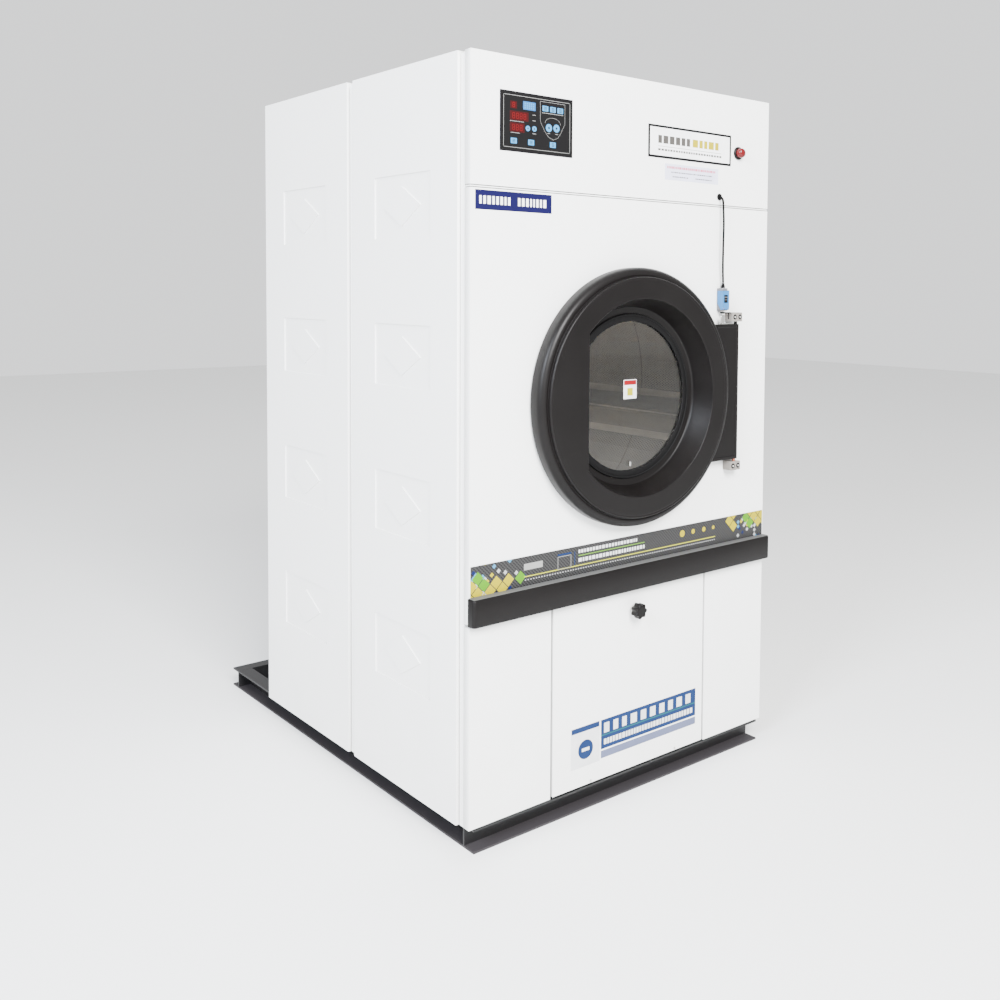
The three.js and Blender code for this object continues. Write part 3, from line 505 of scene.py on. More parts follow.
# ---------------------------------------------------------------- mesh helpers
def finish_mesh(bm, name, look, body="cabinet", replaces=(), sharp=35):
    """Makes an object of a bmesh in drawing millimetres; faces already marked flat stay flat."""
    bmesh.ops.remove_doubles(bm, verts=bm.verts, dist=0.001)
    limit = math.radians(sharp)
    for edge in bm.edges:
        if len(edge.link_faces) == 2 and edge.calc_face_angle(0) > limit:
            edge.smooth = False
    for vert in bm.verts:
        vert.co = at(*vert.co)
    mesh = bpy.data.meshes.new(name)
    bm.to_mesh(mesh)
    bm.free()
    material, slot = look
    mesh.materials.append(material)
    piece = bpy.data.objects.new(name, mesh)
    bpy.context.scene.collection.objects.link(piece)
    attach(piece, body)
    if replaces:
        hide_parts(*replaces)
    return piece


def face_outwards(bm):
    bmesh.ops.recalc_face_normals(bm, faces=bm.faces)
    if bm.calc_volume(signed=True) < 0:
        bmesh.ops.reverse_faces(bm, faces=bm.faces)


def bridge(bm, first, second, smooth=True):
    count = len(first)
    for i in range(count):
        j = (i + 1) % count
        face = bm.faces.new((first[i], first[j], second[j], second[i]))
        face.smooth = smooth


def stack(bm, loops, smooth=True):
    """Skins a row of loops with the same number of points; returns the loops' vertices."""
    rows = [[bm.verts.new(point) for point in loop] for loop in loops]
    for first, second in zip(rows, rows[1:]):
        bridge(bm, first, second, smooth)
    return rows


def stack_closed(bm, loops, smooth=True):
    """The same with a flat face on either end."""
    rows = stack(bm, loops, smooth)
    for row in (rows[0], rows[-1]):
        bm.faces.new(row).smooth = False


def skinned_piece(name, loops, look, body="cabinet", replaces=(), sharp=35, smooth=True):
    bm = bmesh.new()
    stack_closed(bm, loops, smooth)
    face_outwards(bm)
    return finish_mesh(bm, name, look, body, replaces, sharp)


def fill_between(bm, *loops):
    """One flat face with holes: the first loop is its outline."""
    edges = []
    for loop in loops:
        for i, vert in enumerate(loop):
            other = loop[(i + 1) % len(loop)]
            edges.append(bm.edges.get((vert, other)) or bm.edges.new((vert, other)))
    made = bmesh.ops.triangle_fill(bm, edges=edges, use_beauty=True)
    for item in made["geom"]:
        if isinstance(item, bmesh.types.BMFace):
            item.smooth = False


def rounded(corners, radius, steps=4):
    """A closed convex outline with its corners rounded."""
    points = []
    count = len(corners)
    for i, corner in enumerate(corners):
        here = Vector(corner)
        before = (Vector(corners[i - 1]) - here).normalized()
        after = (Vector(corners[(i + 1) % count]) - here).normalized()
        half = before.angle(after) / 2
        middle = here + (before + after).normalized() * (radius / math.sin(half))
        start = here + before * (radius / math.tan(half)) - middle
        end = here + after * (radius / math.tan(half)) - middle
        points += [tuple(middle + start.slerp(end, k / steps)) for k in range(steps + 1)]
    return points


def rectangle(u0, u1, v0, v1):
    return [(u0, v0), (u1, v0), (u1, v1), (u0, v1)]


def shrunk(corners, inset):
    """A convex outline, anticlockwise, moved in by inset all round."""
    count = len(corners)
    result = []
    for i in range(count):
        a, b, c = (Vector(corners[j % count]) for j in (i - 1, i, i + 1))
        n1 = Vector((-(b - a).y, (b - a).x)).normalized()
        n2 = Vector((-(c - b).y, (c - b).x)).normalized()
        result.append(tuple(b + (n1 + n2) * (inset / (1 + n1.dot(n2)))))
    return result


def circle(u, v, radius, count=96):
    turns = (2 * math.pi * i / count for i in range(count))
    return [(u + radius * math.cos(t), v + radius * math.sin(t)) for t in turns]


def front_plane(y=0):
    """Puts (u, v, w) on a face that looks forwards, w mm proud of it."""
    return lambda u, v, w: (u, y - w, v)


FRONT = front_plane()


def bend_profile(radius, depth, steps=4):
    """(inset, height) of a folded edge from its flat face to its far end."""
    turns = [math.pi / 2 * k / steps for k in range(steps + 1)]
    return [(radius * (1 - math.sin(t)), radius * (math.cos(t) - 1)) for t in turns] + [(0, -depth)]


def formed_sheet(node, rect, put, look, holes=(), presses=(), fold=FRONT_FOLD):
    """A folded sheet panel with flanged round holes and pressed patterns, in place of the node."""
    bend, corner = 2.5, 3
    bm = bmesh.new()
    corners = rectangle(*rect)
    loops = []
    for inset, height in bend_profile(bend, fold):
        outline = rounded(shrunk(corners, inset), max(corner - inset, 0.4), 3)
        loops.append([put(u, v, height) for u, v in outline])
    borders = [stack(bm, loops)[0]]
    for u, v, radius, depth in holes:
        rings = [[put(p, q, height) for p, q in circle(u, v, radius + inset, 128)]
                 for inset, height in bend_profile(1.5, depth)]
        borders.append(stack(bm, rings)[0])
    for middle in presses:
        borders.append(pressed_pattern(bm, put, middle))
    fill_between(bm, *borders)
    bmesh.ops.recalc_face_normals(bm, faces=bm.faces)
    outward = Vector(put(0, 0, 1)) - Vector(put(0, 0, 0))
    flat = max(bm.faces, key=lambda face: face.calc_area())
    if flat.normal.dot(outward) < 0:
        bmesh.ops.reverse_faces(bm, faces=bm.faces)
    piece = finish_mesh(bm, f"{node}_skin", look, frame["nodes"][node]["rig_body"], [node])
    thickness = piece.modifiers.new("sheet", "SOLIDIFY")
    thickness.thickness = SHEET / 1000
    thickness.offset = -1


def pressed_pattern(bm, put, middle):
    """A recessed rectangle with a rhombus standing in it; returns the loop at the sheet's surface."""
    u, v = middle
    corners = rectangle(u - 135, u + 135, v - 83, v + 83)
    rhombus = [(u + 100, v), (u, v + 56), (u - 100, v), (u, v - 56)]
    slope = [(0, 0), (0.8, -0.25), (1.8, -1.5), (2.8, -2.75), (3.6, -3)]
    outer = [[put(p, q, w) for p, q in rounded(shrunk(corners, inset), 9 - inset)] for inset, w in slope]
    inner = [[put(p, q, -3 - w) for p, q in rounded(shrunk(rhombus, inset), 9 - inset)] for inset, w in slope]
    outer_rows = stack(bm, outer)
    inner_rows = stack(bm, inner)
    fill_between(bm, outer_rows[-1], inner_rows[0])
    fill_between(bm, inner_rows[-1])
    return outer_rows[0]


def lathe(bm, profile, centre=(AXIS_X, AXIS_Z), count=160, closed=True):
    """Skins a profile of (radius, y) turned about an axis along Y; radius 0 closes on the axis."""
    rows = []
    for radius, y in profile:
        if radius < 1e-6:
            rows.append([bm.verts.new((centre[0], y, centre[1]))])
        else:
            rows.append([bm.verts.new((p, y, q)) for p, q in circle(*centre, radius, count)])
    for first, second in zip(rows, rows[1:] + (rows[:1] if closed else [])):
        if len(first) == len(second) == 1:
            continue
        if len(first) == 1 or len(second) == 1:
            tip, ring = (first[0], second) if len(first) == 1 else (second[0], first)
            for i, vert in enumerate(ring):
                bm.faces.new((tip, vert, ring[(i + 1) % count])).smooth = True
        else:
            bridge(bm, first, second)
    return rows


def turned_piece(name, profile, look, body="cabinet", centre=(AXIS_X, AXIS_Z), count=96, replaces=(),
                 upright=False):
    """A turned part about an axis along Y through centre (x, z), or, upright, along Z through centre (x, y)."""
    bm = bmesh.new()
    lathe(bm, profile, centre, count)
    if upright:
        for vert in bm.verts:
            x, along, y = vert.co
            vert.co = (x, y, along)
    face_outwards(bm)
    finish_mesh(bm, name, look, body, replaces)


def arc_points(cx, cy, radius, start, end, steps):
    turns = (math.radians(start + (end - start) * k / steps) for k in range(steps + 1))
    return [(cx + radius * math.cos(t), cy + radius * math.sin(t)) for t in turns]


def soft_block(name, low, high, radius, look, body="cabinet", replaces=(), steps=3):
    """A block with rounded edges, from its lowest and highest corner."""
    bm = bmesh.new()
    bmesh.ops.create_cube(bm, size=1)
    low, high = Vector(low), Vector(high)
    for vert in bm.verts:
        vert.co = (low + high) / 2 + Vector(a * b for a, b in zip(vert.co, high - low))
    bmesh.ops.bevel(bm, geom=bm.edges[:], offset=radius, segments=steps, affect="EDGES", profile=0.5)
    for face in bm.faces:
        face.smooth = face.calc_area() < 40 * radius * radius
    finish_mesh(bm, name, look, body, replaces, 60)


def slab(name, outline, put, low, high, look, body="cabinet", replaces=(), edge=0.3):
    """A flat part cut to an outline, from low to high above its plane, with softened edges on top."""
    loops = [[put(u, v, low) for u, v in outline]]
    for k in range(3):
        t = math.pi / 4 * k
        inset, height = edge * (1 - math.cos(t)), high - edge + edge * math.sin(t)
        loops.append([put(u, v, height) for u, v in shrunk(outline, inset)])
    skinned_piece(name, loops, look, body, replaces, 50)


def print_on(name, outlines, put, height, look, body="cabinet"):
    """Many thin flat shapes in one piece, printed on a surface."""
    bm = bmesh.new()
    for outline in outlines:
        stack_closed(bm, [[put(u, v, w) for u, v in outline] for w in (height - 0.1, height)], False)
    bmesh.ops.recalc_face_normals(bm, faces=bm.faces)
    finish_mesh(bm, name, look, body)


def bars(u0, u1, v, height, seed, low, high, gap):
    """Outlines of a row of short blocks, low to high mm long, that stand for a line of print."""
    draw = random.Random(seed)
    outlines = []
    while u0 < u1 - low:
        end = min(u1, u0 + draw.uniform(low, high))
        outlines.append(rectangle(u0, end, v - height / 2, v + height / 2))
        u0 = end + gap
    return outlines


def ribbon(points, width, closed=False):
    """Outlines of the straight pieces of a thin line through the points."""
    outlines = []
    for a, b in zip(points, points[1:] + points[:1] if closed else points[1:]):
        a, b = Vector(a), Vector(b)
        along = (b - a).normalized() * width / 2
        side = Vector((-along.y, along.x))
        corners = (a - along - side, b + along - side, b + along + side, a - along + side)
        outlines.append([tuple(corner) for corner in corners])
    return outlines


def bolt_head(name, x, y, z, radius, thick, look):
    """A screw head on a face that looks forwards, with a hexagonal socket."""
    count = 24
    bm = bmesh.new()
    dome = [(radius, 0), (radius, -thick * 0.7), (radius * 0.86, -thick)]
    rows = lathe(bm, [(r, y + dy) for r, dy in dome], (x, z), count, closed=False)
    inner, sunk = ([bm.verts.new((p, depth, q)) for p, q in circle(x, z, radius * 0.5, 6)]
                   for depth in (y - thick, y - thick * 0.35))
    fill_between(bm, rows[-1], inner)
    bridge(bm, inner, sunk, False)
    bm.faces.new(sunk)
    bm.faces.new(rows[0])
    face_outwards(bm)
    finish_mesh(bm, name, look)




# ---------------------------------------------------------------- the object's pieces
def smooth_line(points, steps):
    """Points along a Catmull-Rom curve through the given ones."""
    ends = [points[0] * 2 - points[1], *points, points[-1] * 2 - points[-2]]
    line = []
    for a, b, c, d in zip(ends, ends[1:], ends[2:], ends[3:]):
        for k in range(steps):
            t = k / steps
            line.append(0.5 * (2 * b + (c - a) * t + (2 * a - 5 * b + 4 * c - d) * t ** 2
                               + (3 * b - a - 3 * c + d) * t ** 3))
    return line + [points[-1]]


def add_cable(look):
    material, slot = look.rubber
    line = smooth_line([at(*point) for point in CABLE], 6)
    curve = bpy.data.curves.new("switch_lead", "CURVE")
    curve.dimensions = "3D"
    curve.bevel_depth = CABLE_WIDTH / 2000
    curve.bevel_resolution = 5
    spline = curve.splines.new("POLY")
    spline.points.add(len(line) - 1)
    for point, spot in zip(spline.points, line):
        point.co = (*spot, 1)
    curve.materials.append(material)
    lead = bpy.data.objects.new("switch_lead", curve)
    bpy.context.scene.collection.objects.link(lead)
    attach(lead, "cabinet")
    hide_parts("switch_cable")
    length = sum((b - a).length for a, b in zip(line, line[1:]))


def side_plane(side):
    return lambda u, v, w: (side * (SIDE + w), u, v)


def top_plane(u, v, w):
    return u, v, TOP + w


def add_panels(look):
    enamel_look = look.enamel
    for side, label in ((-1, "left"), (1, "right")):
        for column, span in COLUMNS.items():
            presses = [(sum(span) / 2, z) for z in (389.5, 752.5, 1114.5, 1470.5)]
            formed_sheet(f"side_panel_{column}_{label}", (*span, PANEL_BOTTOM, TOP), side_plane(side), enamel_look,
                         presses=presses, fold=FOLD)
    for column, span in COLUMNS.items():
        formed_sheet(f"top_panel_{column}", (-484.6, 484.6, *span), top_plane, enamel_look, fold=FOLD)
    half = PANEL_HALF
    formed_sheet("front_fascia", (-half, half, 1503.5, TOP), FRONT, enamel_look, [(*CABLE_HOLE, 7, 2)])
    formed_sheet("front_panel", (-half, half, 524.5, 1500.5), FRONT, enamel_look, [(AXIS_X, AXIS_Z, 262, 6)])
    soft_block("fascia_seam_lip", (3 - half, 1.0, 1500.7), (half - 3, 18, 1503.3), 0.4, enamel_look, steps=1)
    for label, span in (("left", (-half, -262.5)), ("right", (262.5, half))):
        formed_sheet(f"lower_panel_{label}", (*span, PANEL_BOTTOM, LOWER_TOP), FRONT, enamel_look)
    formed_sheet("lint_door", (-259.5, 259.5, 59, LOWER_TOP), FRONT, enamel_look, [(0, KNOB_Z, 6, 3)])


def grip_outline(inset):
    """The door face's opening, a circle cut off by the grip's straight edge, moved in by inset."""
    radius = MOUTH - inset
    edge = GRIP_X + inset
    reach = math.acos(edge / radius)
    steps, straight = 96, 12
    turns = [-reach + 2 * reach * k / steps for k in range(steps + 1)]
    points = [(radius * math.cos(t), radius * math.sin(t)) for t in turns]
    top, bottom = points[-1][1], points[0][1]
    points += [(edge, top + (bottom - top) * k / straight) for k in range(1, straight)]
    return [(AXIS_X + u, AXIS_Z + v) for u, v in points]


def add_door_ring(black):
    bm = bmesh.new()
    # outer rim, groove and bead, from the back edge round to the flat face
    rim = [(312, -4), (316, -4), (320, -6), (321, -10), *arc_points(304, -28, 17, 0, -90, 12)]
    rim += [(302.2, -44.6), (301.2, -43.8), (300, -43.6), (298.9, -44.2), (298.4, -46), (298.2, -49.5)]
    rim += [(297.4, -52), (296, -53.2), (294.2, -53.6), (292.6, -53.3), (291.6, -53), (290, -53.4)]
    rows = lathe(bm, rim, closed=False)
    flat = [bm.verts.new((p, DOOR_FACE, q)) for p, q in circle(AXIS_X, AXIS_Z, 288, 160)]
    bridge(bm, rows[-1], flat)
    lip = [[(u, DOOR_FACE - height, v) for u, v in grip_outline(3 - inset)]
           for inset, height in bend_profile(3, 5.2, 5)]
    lip_rows = stack(bm, lip)
    fill_between(bm, flat, lip_rows[0])
    bridge(bm, lip_rows[-1], [bm.verts.new((u, -47.2, v)) for u, v in grip_outline(-6)])
    # the funnel down to the glass, its foot, and the back of the shell
    funnel = [(243.2, -52), (242, -48), (225.6, -2), (224.3, 1.8), (222.6, 4), (220.4, 5), (208.5, 5), (207.2, 5.6),
              (207, 7), (207, 14), (228, 14), (228, 9), (249, -46), (251, -47.5), (290, -48), (296, -44), (300, -39),
              (306, -38), (312, -27), (312, -4)]
    lathe(bm, funnel, closed=False)
    bmesh.ops.recalc_face_normals(bm, faces=bm.faces)
    finish_mesh(bm, "door_ring_shell", black, "door", ["door_ring"], 40)


def add_door(look):
    add_door_ring(look.black)
    turned_piece("door_pane", [(0, 6), (200, 6), (201, 7), (201, 11), (200, 12), (0, 12)], look.glass, "door",
                 count=128, replaces=["door_glass"])
    gasket = [(206.5, 3), (205.5, 1.6), (203.5, 1.2), (201.5, 2.4), (199.5, 1.4), (190, 1.2), (187.6, 2), (187, 3.4),
              (187, 5.6), (201.6, 5.6), (201.6, 12.4), (187, 12.4), (187, 15), (206.5, 15)]
    turned_piece("glass_surround", gasket, look.rubber, "door", count=128, replaces=["glass_gasket"])
    seal = [(231.5, 1), (238, 1.2), (244, 2.4), (246, 5), (245.4, 8), (240, 10.4), (229, 13.6), (229.2, 9)]
    turned_piece("rear_seal", seal, look.rubber, "door", replaces=["door_seal"])
    painted_pin = (look.black[0], look.steel[1])
    for label, z, finish_look in (("lower", HINGE_LOW - 20, look.copper), ("upper", HINGE_HIGH - 14, painted_pin)):
        profile = [(0, z), (3.7, z), (4.5, z + 0.8), (4.5, z + 33.2), (3.7, z + 34), (0, z + 34)]
        turned_piece(f"door_pin_{label}", profile, finish_look, "door", (HINGE_X, HINGE_Y), 24,
                     [f"hinge_pin_{label}"], True)


def add_hinge(look):
    dark_seat = (look.rubber[0], "black_steel")
    for label, z in (("lower", HINGE_LOW - 30), ("upper", HINGE_HIGH + 7)):
        node = f"hinge_block_{label}"
        soft_block(f"{node}_body", (328, -30, z), (366, -0.4, z + 24), 1.2, look.casting, replaces=[node])
        for k, x in enumerate((337, 357)):
            seat = [(0, -30.25), (6.4, -30.25), (7.2, -29.9), (0, -29.9)]
            turned_piece(f"{node}_seat_{k + 1}", seat, dark_seat, centre=(x, z + 12), count=24)
            bolt_head(f"{node}_screw_{k + 1}", x, -30.2, z + 12, 2.9, 1.6, look.steel)
    add_hinge_plate((look.black[0], "black_steel"))
    left = HINGE_X - 60
    put = front_plane(HINGE_Y)
    foot = [(left, 1187.4), (left + 46, 1187.4), (left + 46, 1189.4), (left + 14, 1189.4), (left, 1189.4)]
    slab("actuator_foot", foot, put, -6, 6, look.steel, "door", ["switch_actuator"])
    slab("actuator_upright", rectangle(left, left + 14, 1188, 1211), put, 0, 2, look.steel, "door", edge=0.5)


def add_hinge_plate(look):
    """The folded plate between the door ring and the hinge pins, with a shallow step inside its rim."""
    reach = 323
    steps = 24
    first, last = (math.asin((z - AXIS_Z) / reach) for z in (HINGE_HIGH, HINGE_LOW))
    arc = [first + (last - first) * k / steps for k in range(steps + 1)]
    outline = [(AXIS_X + reach * math.cos(t), AXIS_Z + reach * math.sin(t)) for t in arc]
    outline += [(HINGE_X + 7, HINGE_LOW), (HINGE_X + 7, HINGE_HIGH)]
    bm = bmesh.new()
    put = front_plane(HINGE_Y)
    shape = [(0, -7), (0, 4.5), (0.6, 6.2), (2.4, 7), (8, 7), (9, 6.1), (10.5, 5.9)]
    rows = stack(bm, [[put(u, v, w) for u, v in shrunk(outline, inset)] for inset, w in shape])
    fill_between(bm, rows[-1])
    fill_between(bm, rows[0])
    face_outwards(bm)
    finish_mesh(bm, "hinge_plate_shell", look, "door", ["hinge_plate"])


def add_switch(look):
    soft_block("switch_case", (295.5, -20, 1223), (316.5, -0.4, 1283), 0.9, look.switch_grey,
               replaces=["switch_housing"])
    side = [(4, 1276), (24, 1276), (24, 1231), (22, 1226), (16, 1226), (4, 1243)]
    slab("switch_shell", side, lambda u, v, w: (w, -u, v), 294, 318, look.switch_blue, replaces=["switch_cover"],
         edge=1.2)
    cover = front_plane(-24)
    slab("switch_plate", rounded(rectangle(299, 313, 1244, 1265), 1), cover, 0, 0.3, look.black)
    print_on("switch_print", bars(300, 312, 1259, 2.4, 5, 1, 3, 0.8) + bars(300, 312, 1252, 1.2, 6, 1, 4, 0.8),
             cover, 0.42, look.switch_grey)
    slab("switch_mark", circle(298.5, 1229.5, 1.8, 16), front_plane(-22), 0, 1.2, look.orange)
    gland = [(0, 1283.4), (5.5, 1283.4), (5.5, 1288), (4.8, 1288.6), (5.2, 1289.4), (4.5, 1290), (4.9, 1290.8),
             (4.2, 1291.4), (4.5, 1292.2), (3.9, 1293), (3.8, 1297), (0, 1297)]
    turned_piece("switch_strain_relief", gland, (look.rubber[0], look.black[1]), centre=(CABLE[0][0], SWITCH_Y),
                 count=32, replaces=["switch_gland"], upright=True)
    turret = [(8.6, 1224.2), (8.6, 1226.2), (7.4, 1227), (7.4, 1228.6), (0, 1228.6), (0, 1224.2)]
    turned_piece("switch_turret", turret, look.black, centre=(SWITCH_X, SWITCH_Y), count=32, upright=True)
    ring = [(4.1, -3), (7.6, -3), (9, -2.2), (9, -0.4), (6.5, -0.4), (6.5, 3), (4.1, 3)]
    turned_piece("grommet_ring", ring, look.rubber, centre=CABLE_HOLE, count=40, replaces=["cable_grommet"])


def film_point(u, v):
    """A point on the control film from shares of its width and of its height down from the top."""
    left, right, low, high = MEMBRANE
    return left + (right - left) * u, high - (high - low) * v


def film_box(u, v, wide, tall, corner):
    x, z = film_point(u, v)
    half_w = (MEMBRANE[1] - MEMBRANE[0]) * wide / 2
    half_h = (MEMBRANE[3] - MEMBRANE[2]) * tall / 2
    return rounded(rectangle(x - half_w, x + half_w, z - half_h, z + half_h), corner, 3)


def digits(u, v, count, tall):
    """The bars of a row of display digits."""
    wide = 6
    x, z = film_point(u, v)
    step = wide * 1.75
    outlines = []
    for k in range(count):
        left = x - (count - 1) * step / 2 - wide / 2 + k * step
        for x0, z0, x1, z1 in SEGMENTS:
            ends = [(left + a * wide, z - tall / 2 + b * tall / 2) for a, b in ((x0, z0), (x1, z1))]
            outlines += ribbon(ends, 1.3)
    return outlines


def add_controls(look):
    left, right, low, high = MEMBRANE
    face = front_plane(-1.8)
    soft_block("membrane_film", (left, -1.8, low), (right, -0.4, high), 0.4, look.film,
               replaces=["control_membrane"], steps=2)
    slab("membrane_border", rounded(rectangle(left - 2, right + 2, low - 2, high + 2), 2), FRONT, 0.02, 0.45,
         look.edge, edge=0.1)
    displays = ((0.174, 0.224, 0.085, 0.12), (0.25, 0.403, 0.25, 0.155), (0.224, 0.597, 0.195, 0.155))
    for k, spot in enumerate(displays):
        slab(f"red_display_{k + 1}", film_box(*spot, 0.8), face, 0, 0.12, look.display, edge=0.05)
    shown = digits(0.174, 0.224, 1, 10) + digits(0.25, 0.403, 4, 12) + digits(0.224, 0.597, 3, 12)
    print_on("display_digits", shown, face, 0.2, look.digit)
    slab("lcd_window", film_box(0.387, 0.2106, 0.17, 0.14, 1), face, 0, 0.12, look.lcd, edge=0.05)
    x, z = film_point(0.387, 0.2106)
    cells = [rectangle(x + dx - 1.4, x + dx + 1.4, z + dz - 1.6, z + dz + 1.6)
             for dx in (-12, -6, 0, 6, 12) for dz in (-5, 0, 5)]
    print_on("lcd_cells", cells, face, 0.2, look.key)
    square = [(0.178, 0.825), (0.413, 0.823), (0.717, 0.822), (0.609, 0.213), (0.715, 0.215), (0.82, 0.217)]
    discs = [(0.368, 0.591, 6.2), (0.457, 0.586, 6.2), (0.66, 0.536, 9), (0.767, 0.529, 9)]
    marks = []
    for k, spot in enumerate(square):
        slab(f"square_key_{k + 1}", film_box(*spot, 0.095, 0.115, 2.5), face, 0, 0.3, look.key, edge=0.12)
        x, z = film_point(*spot)
        marks += [rectangle(x - 4, x + 4, z + dz - 0.6, z + dz + 0.6) for dz in (-3, 0, 3)]
    for k, (u, v, radius) in enumerate(discs):
        centre = film_point(u, v)
        slab(f"round_key_{k + 1}", circle(*centre, radius, 32), face, 0, 0.3, look.key, edge=0.12)
        marks.append(circle(*centre, radius * 0.28, 12))
    print_on("key_marks", marks, face, 0.42, look.film)
    add_film_lines(look.tag, face)


def add_film_lines(look, face):
    """The membrane's thin printed lines: its border, a shield with an arch, and words as rows of blocks."""
    inner = rounded(rectangle(-415.5, -214.5, 1589.5, 1715.5), 6, 6)
    shield = [(0.538, 0.10), (0.887, 0.10), (0.887, 0.44), (0.83, 0.60), (0.79, 0.69), (0.723, 0.735),
              (0.65, 0.69), (0.60, 0.60), (0.538, 0.44)]
    lines = ribbon(inner, 0.8, True) + ribbon([film_point(*p) for p in shield], 0.5, True)
    turns = (math.pi * k / 10 for k in range(11))
    lines += ribbon([film_point(0.714 + 0.11 * math.cos(t), 0.46 - 0.1 * math.sin(t)) for t in turns], 0.5)
    for u, v, wide in ((0.222, 0.495, 0.19), (0.196, 0.69, 0.12), (0.457, 0.67, 0.05), (0.452, 0.353, 0.04),
                       (0.452, 0.449, 0.04), (0.715, 0.29, 0.3), (0.66, 0.63, 0.04), (0.77, 0.63, 0.04)):
        x, z = film_point(u, v)
        half = (MEMBRANE[1] - MEMBRANE[0]) * wide / 2
        lines += bars(x - half, x + half, z, 1.2, int(u * 1000), 1, 3.5, 0.9)
    print_on("film_lines", lines, face, 0.15, look)


def add_lamp(look):
    bezel = [(0, -5.4), (12.6, -5.4), (13.4, -6), (15, -6), (16.6, -4.8), (17.5, -3), (17.5, -0.4), (0, -0.4)]
    turned_piece("lamp_bezel", bezel, look.black, centre=(LAMP_X, LAMP_Z), count=48, replaces=["pilot_lamp_bezel"])
    dome = [(0, -22), (4, -21.7), (8, -20.6), (11, -18.6), (12.6, -16), (13, -13), (13, -6.4), (0, -6.4)]
    turned_piece("lamp_dome", dome, look.lens, centre=(LAMP_X, LAMP_Z), count=12, replaces=["pilot_lamp_lens"])


def add_labels(look):
    """The name label, the name plate and the maker's sticker, all with plain blocks for print."""
    plates = (("name_label", (-485, -271, 1451, 1494.5), 0.02, 0.35, look.navy, 0.1),
              ("plate_rim", (36, 343, 1611, 1693), 0.02, 1.2, look.film, 0.3),
              ("plate_face", (42, 337, 1617, 1687), 1.0, 1.35, look.bright, 0.1),
              ("maker_sticker", (96, 295, 1558, 1599), 0.02, 0.25, look.lavender, 0.1))
    for name, box, low, high, ink, edge in plates:
        slab(name, rectangle(*box), FRONT, low, high, ink, edge=edge)
    letters = bars(-474, -388, 1472.7, 18, 11, 4, 9, 4.5) + bars(-368, -282, 1472.7, 18, 12, 4, 9, 4.5)
    rule = [rectangle(70, 305, 1640, 1641)] + bars(70, 305, 1632, 5, 23, 5, 9, 3)
    small = bars(118, 274, 1578, 3, 32, 2, 6, 2)
    for u0, u1, seed in ((124, 182, 33), (208, 272, 34)):
        small += bars(u0, u1, 1567, 3, seed, 2, 6, 2)
    prints = (("name_blocks", letters, 0.45, (look.bright[0], look.white[1])),
              ("plate_grey", bars(70, 185, 1658, 20, 21, 12, 20, 5), 1.45, look.grey),
              ("plate_amber", bars(195, 305, 1658, 20, 22, 12, 20, 5), 1.45, look.amber),
              ("plate_line", rule, 1.45, look.grey),
              ("sticker_pink", bars(104, 288, 1590, 6, 31, 3, 8, 2), 0.33, look.pink),
              ("sticker_grey", small, 0.33, look.grey))
    for name, outlines, height, ink in prints:
        print_on(name, outlines, FRONT, height, ink)


def add_lint_labels(look):
    """The sign on the lint door: a square with a disc, and a blue field with plain blocks for print."""
    body = "lint_flap"
    plates = (("square", rectangle(-201, -108, 108, 210), 0.02, 0.3, look.paper, 0.1),
              ("band", rectangle(-199, -110, 196, 209), 0.3, 0.4, look.royal, 0.03),
              ("disc", circle(-154, 150, 24, 40), 0.3, 0.4, look.royal, 0.03),
              ("bar", rectangle(-166, -142, 146, 154), 0.4, 0.5, look.paper, 0.03),
              ("blue", rectangle(-104, 233, 135, 209), 0.02, 0.3, look.royal, 0.1),
              ("strip", rectangle(-104, 233, 112, 131), 0.02, 0.25, look.strip, 0.1))
    for name, outline, low, high, ink, edge in plates:
        slab(f"door_plate_{name}", outline, FRONT, low, high, ink, body, edge=edge)
    blocks = bars(-94, 226, 187, 25, 41, 14, 22, 14) + bars(-94, 226, 152, 14, 42, 6, 10, 2.5)
    print_on("door_plate_blocks", blocks, FRONT, 0.4, look.white, body)
    print_on("door_plate_line", [rectangle(-104, 233, 168, 171)], FRONT, 0.4, look.teal, body)


def add_band(look):
    face = front_plane(-1.4)
    slab("band_strip", rectangle(*BAND), FRONT, 0.4, 1.4, look.foil, replaces=["label_band"], edge=0.2)
    slab("band_tag", rounded(rectangle(-347, -292, 626, 641), 1), face, 0, 0.3, look.tag, edge=0.1)
    words = bars(-182, 16, 645, 8, 51, 4, 9, 3) + bars(-182, 37, 624, 9, 52, 5, 10, 3)
    blues = [rectangle(-247, -205, 643.5, 647.5), rectangle(-195, -193, 613, 647)]
    discs = [circle(x, 637, radius, 20) for x, radius in ((174, 9), (215, 6.5), (256, 6.5), (293, 5))]
    for name, outlines, ink in (("words", words, look.white),
                                ("green", [rectangle(-182, 37, 634, 635.6)], look.green),
                                ("frame", ribbon(rectangle(-246, -206, 611, 641), 1.2, True), look.tag),
                                ("blue", blues, look.royal),
                                ("discs", discs, look.amber)):
        print_on(f"band_{name}", outlines, face, 0.12, ink)


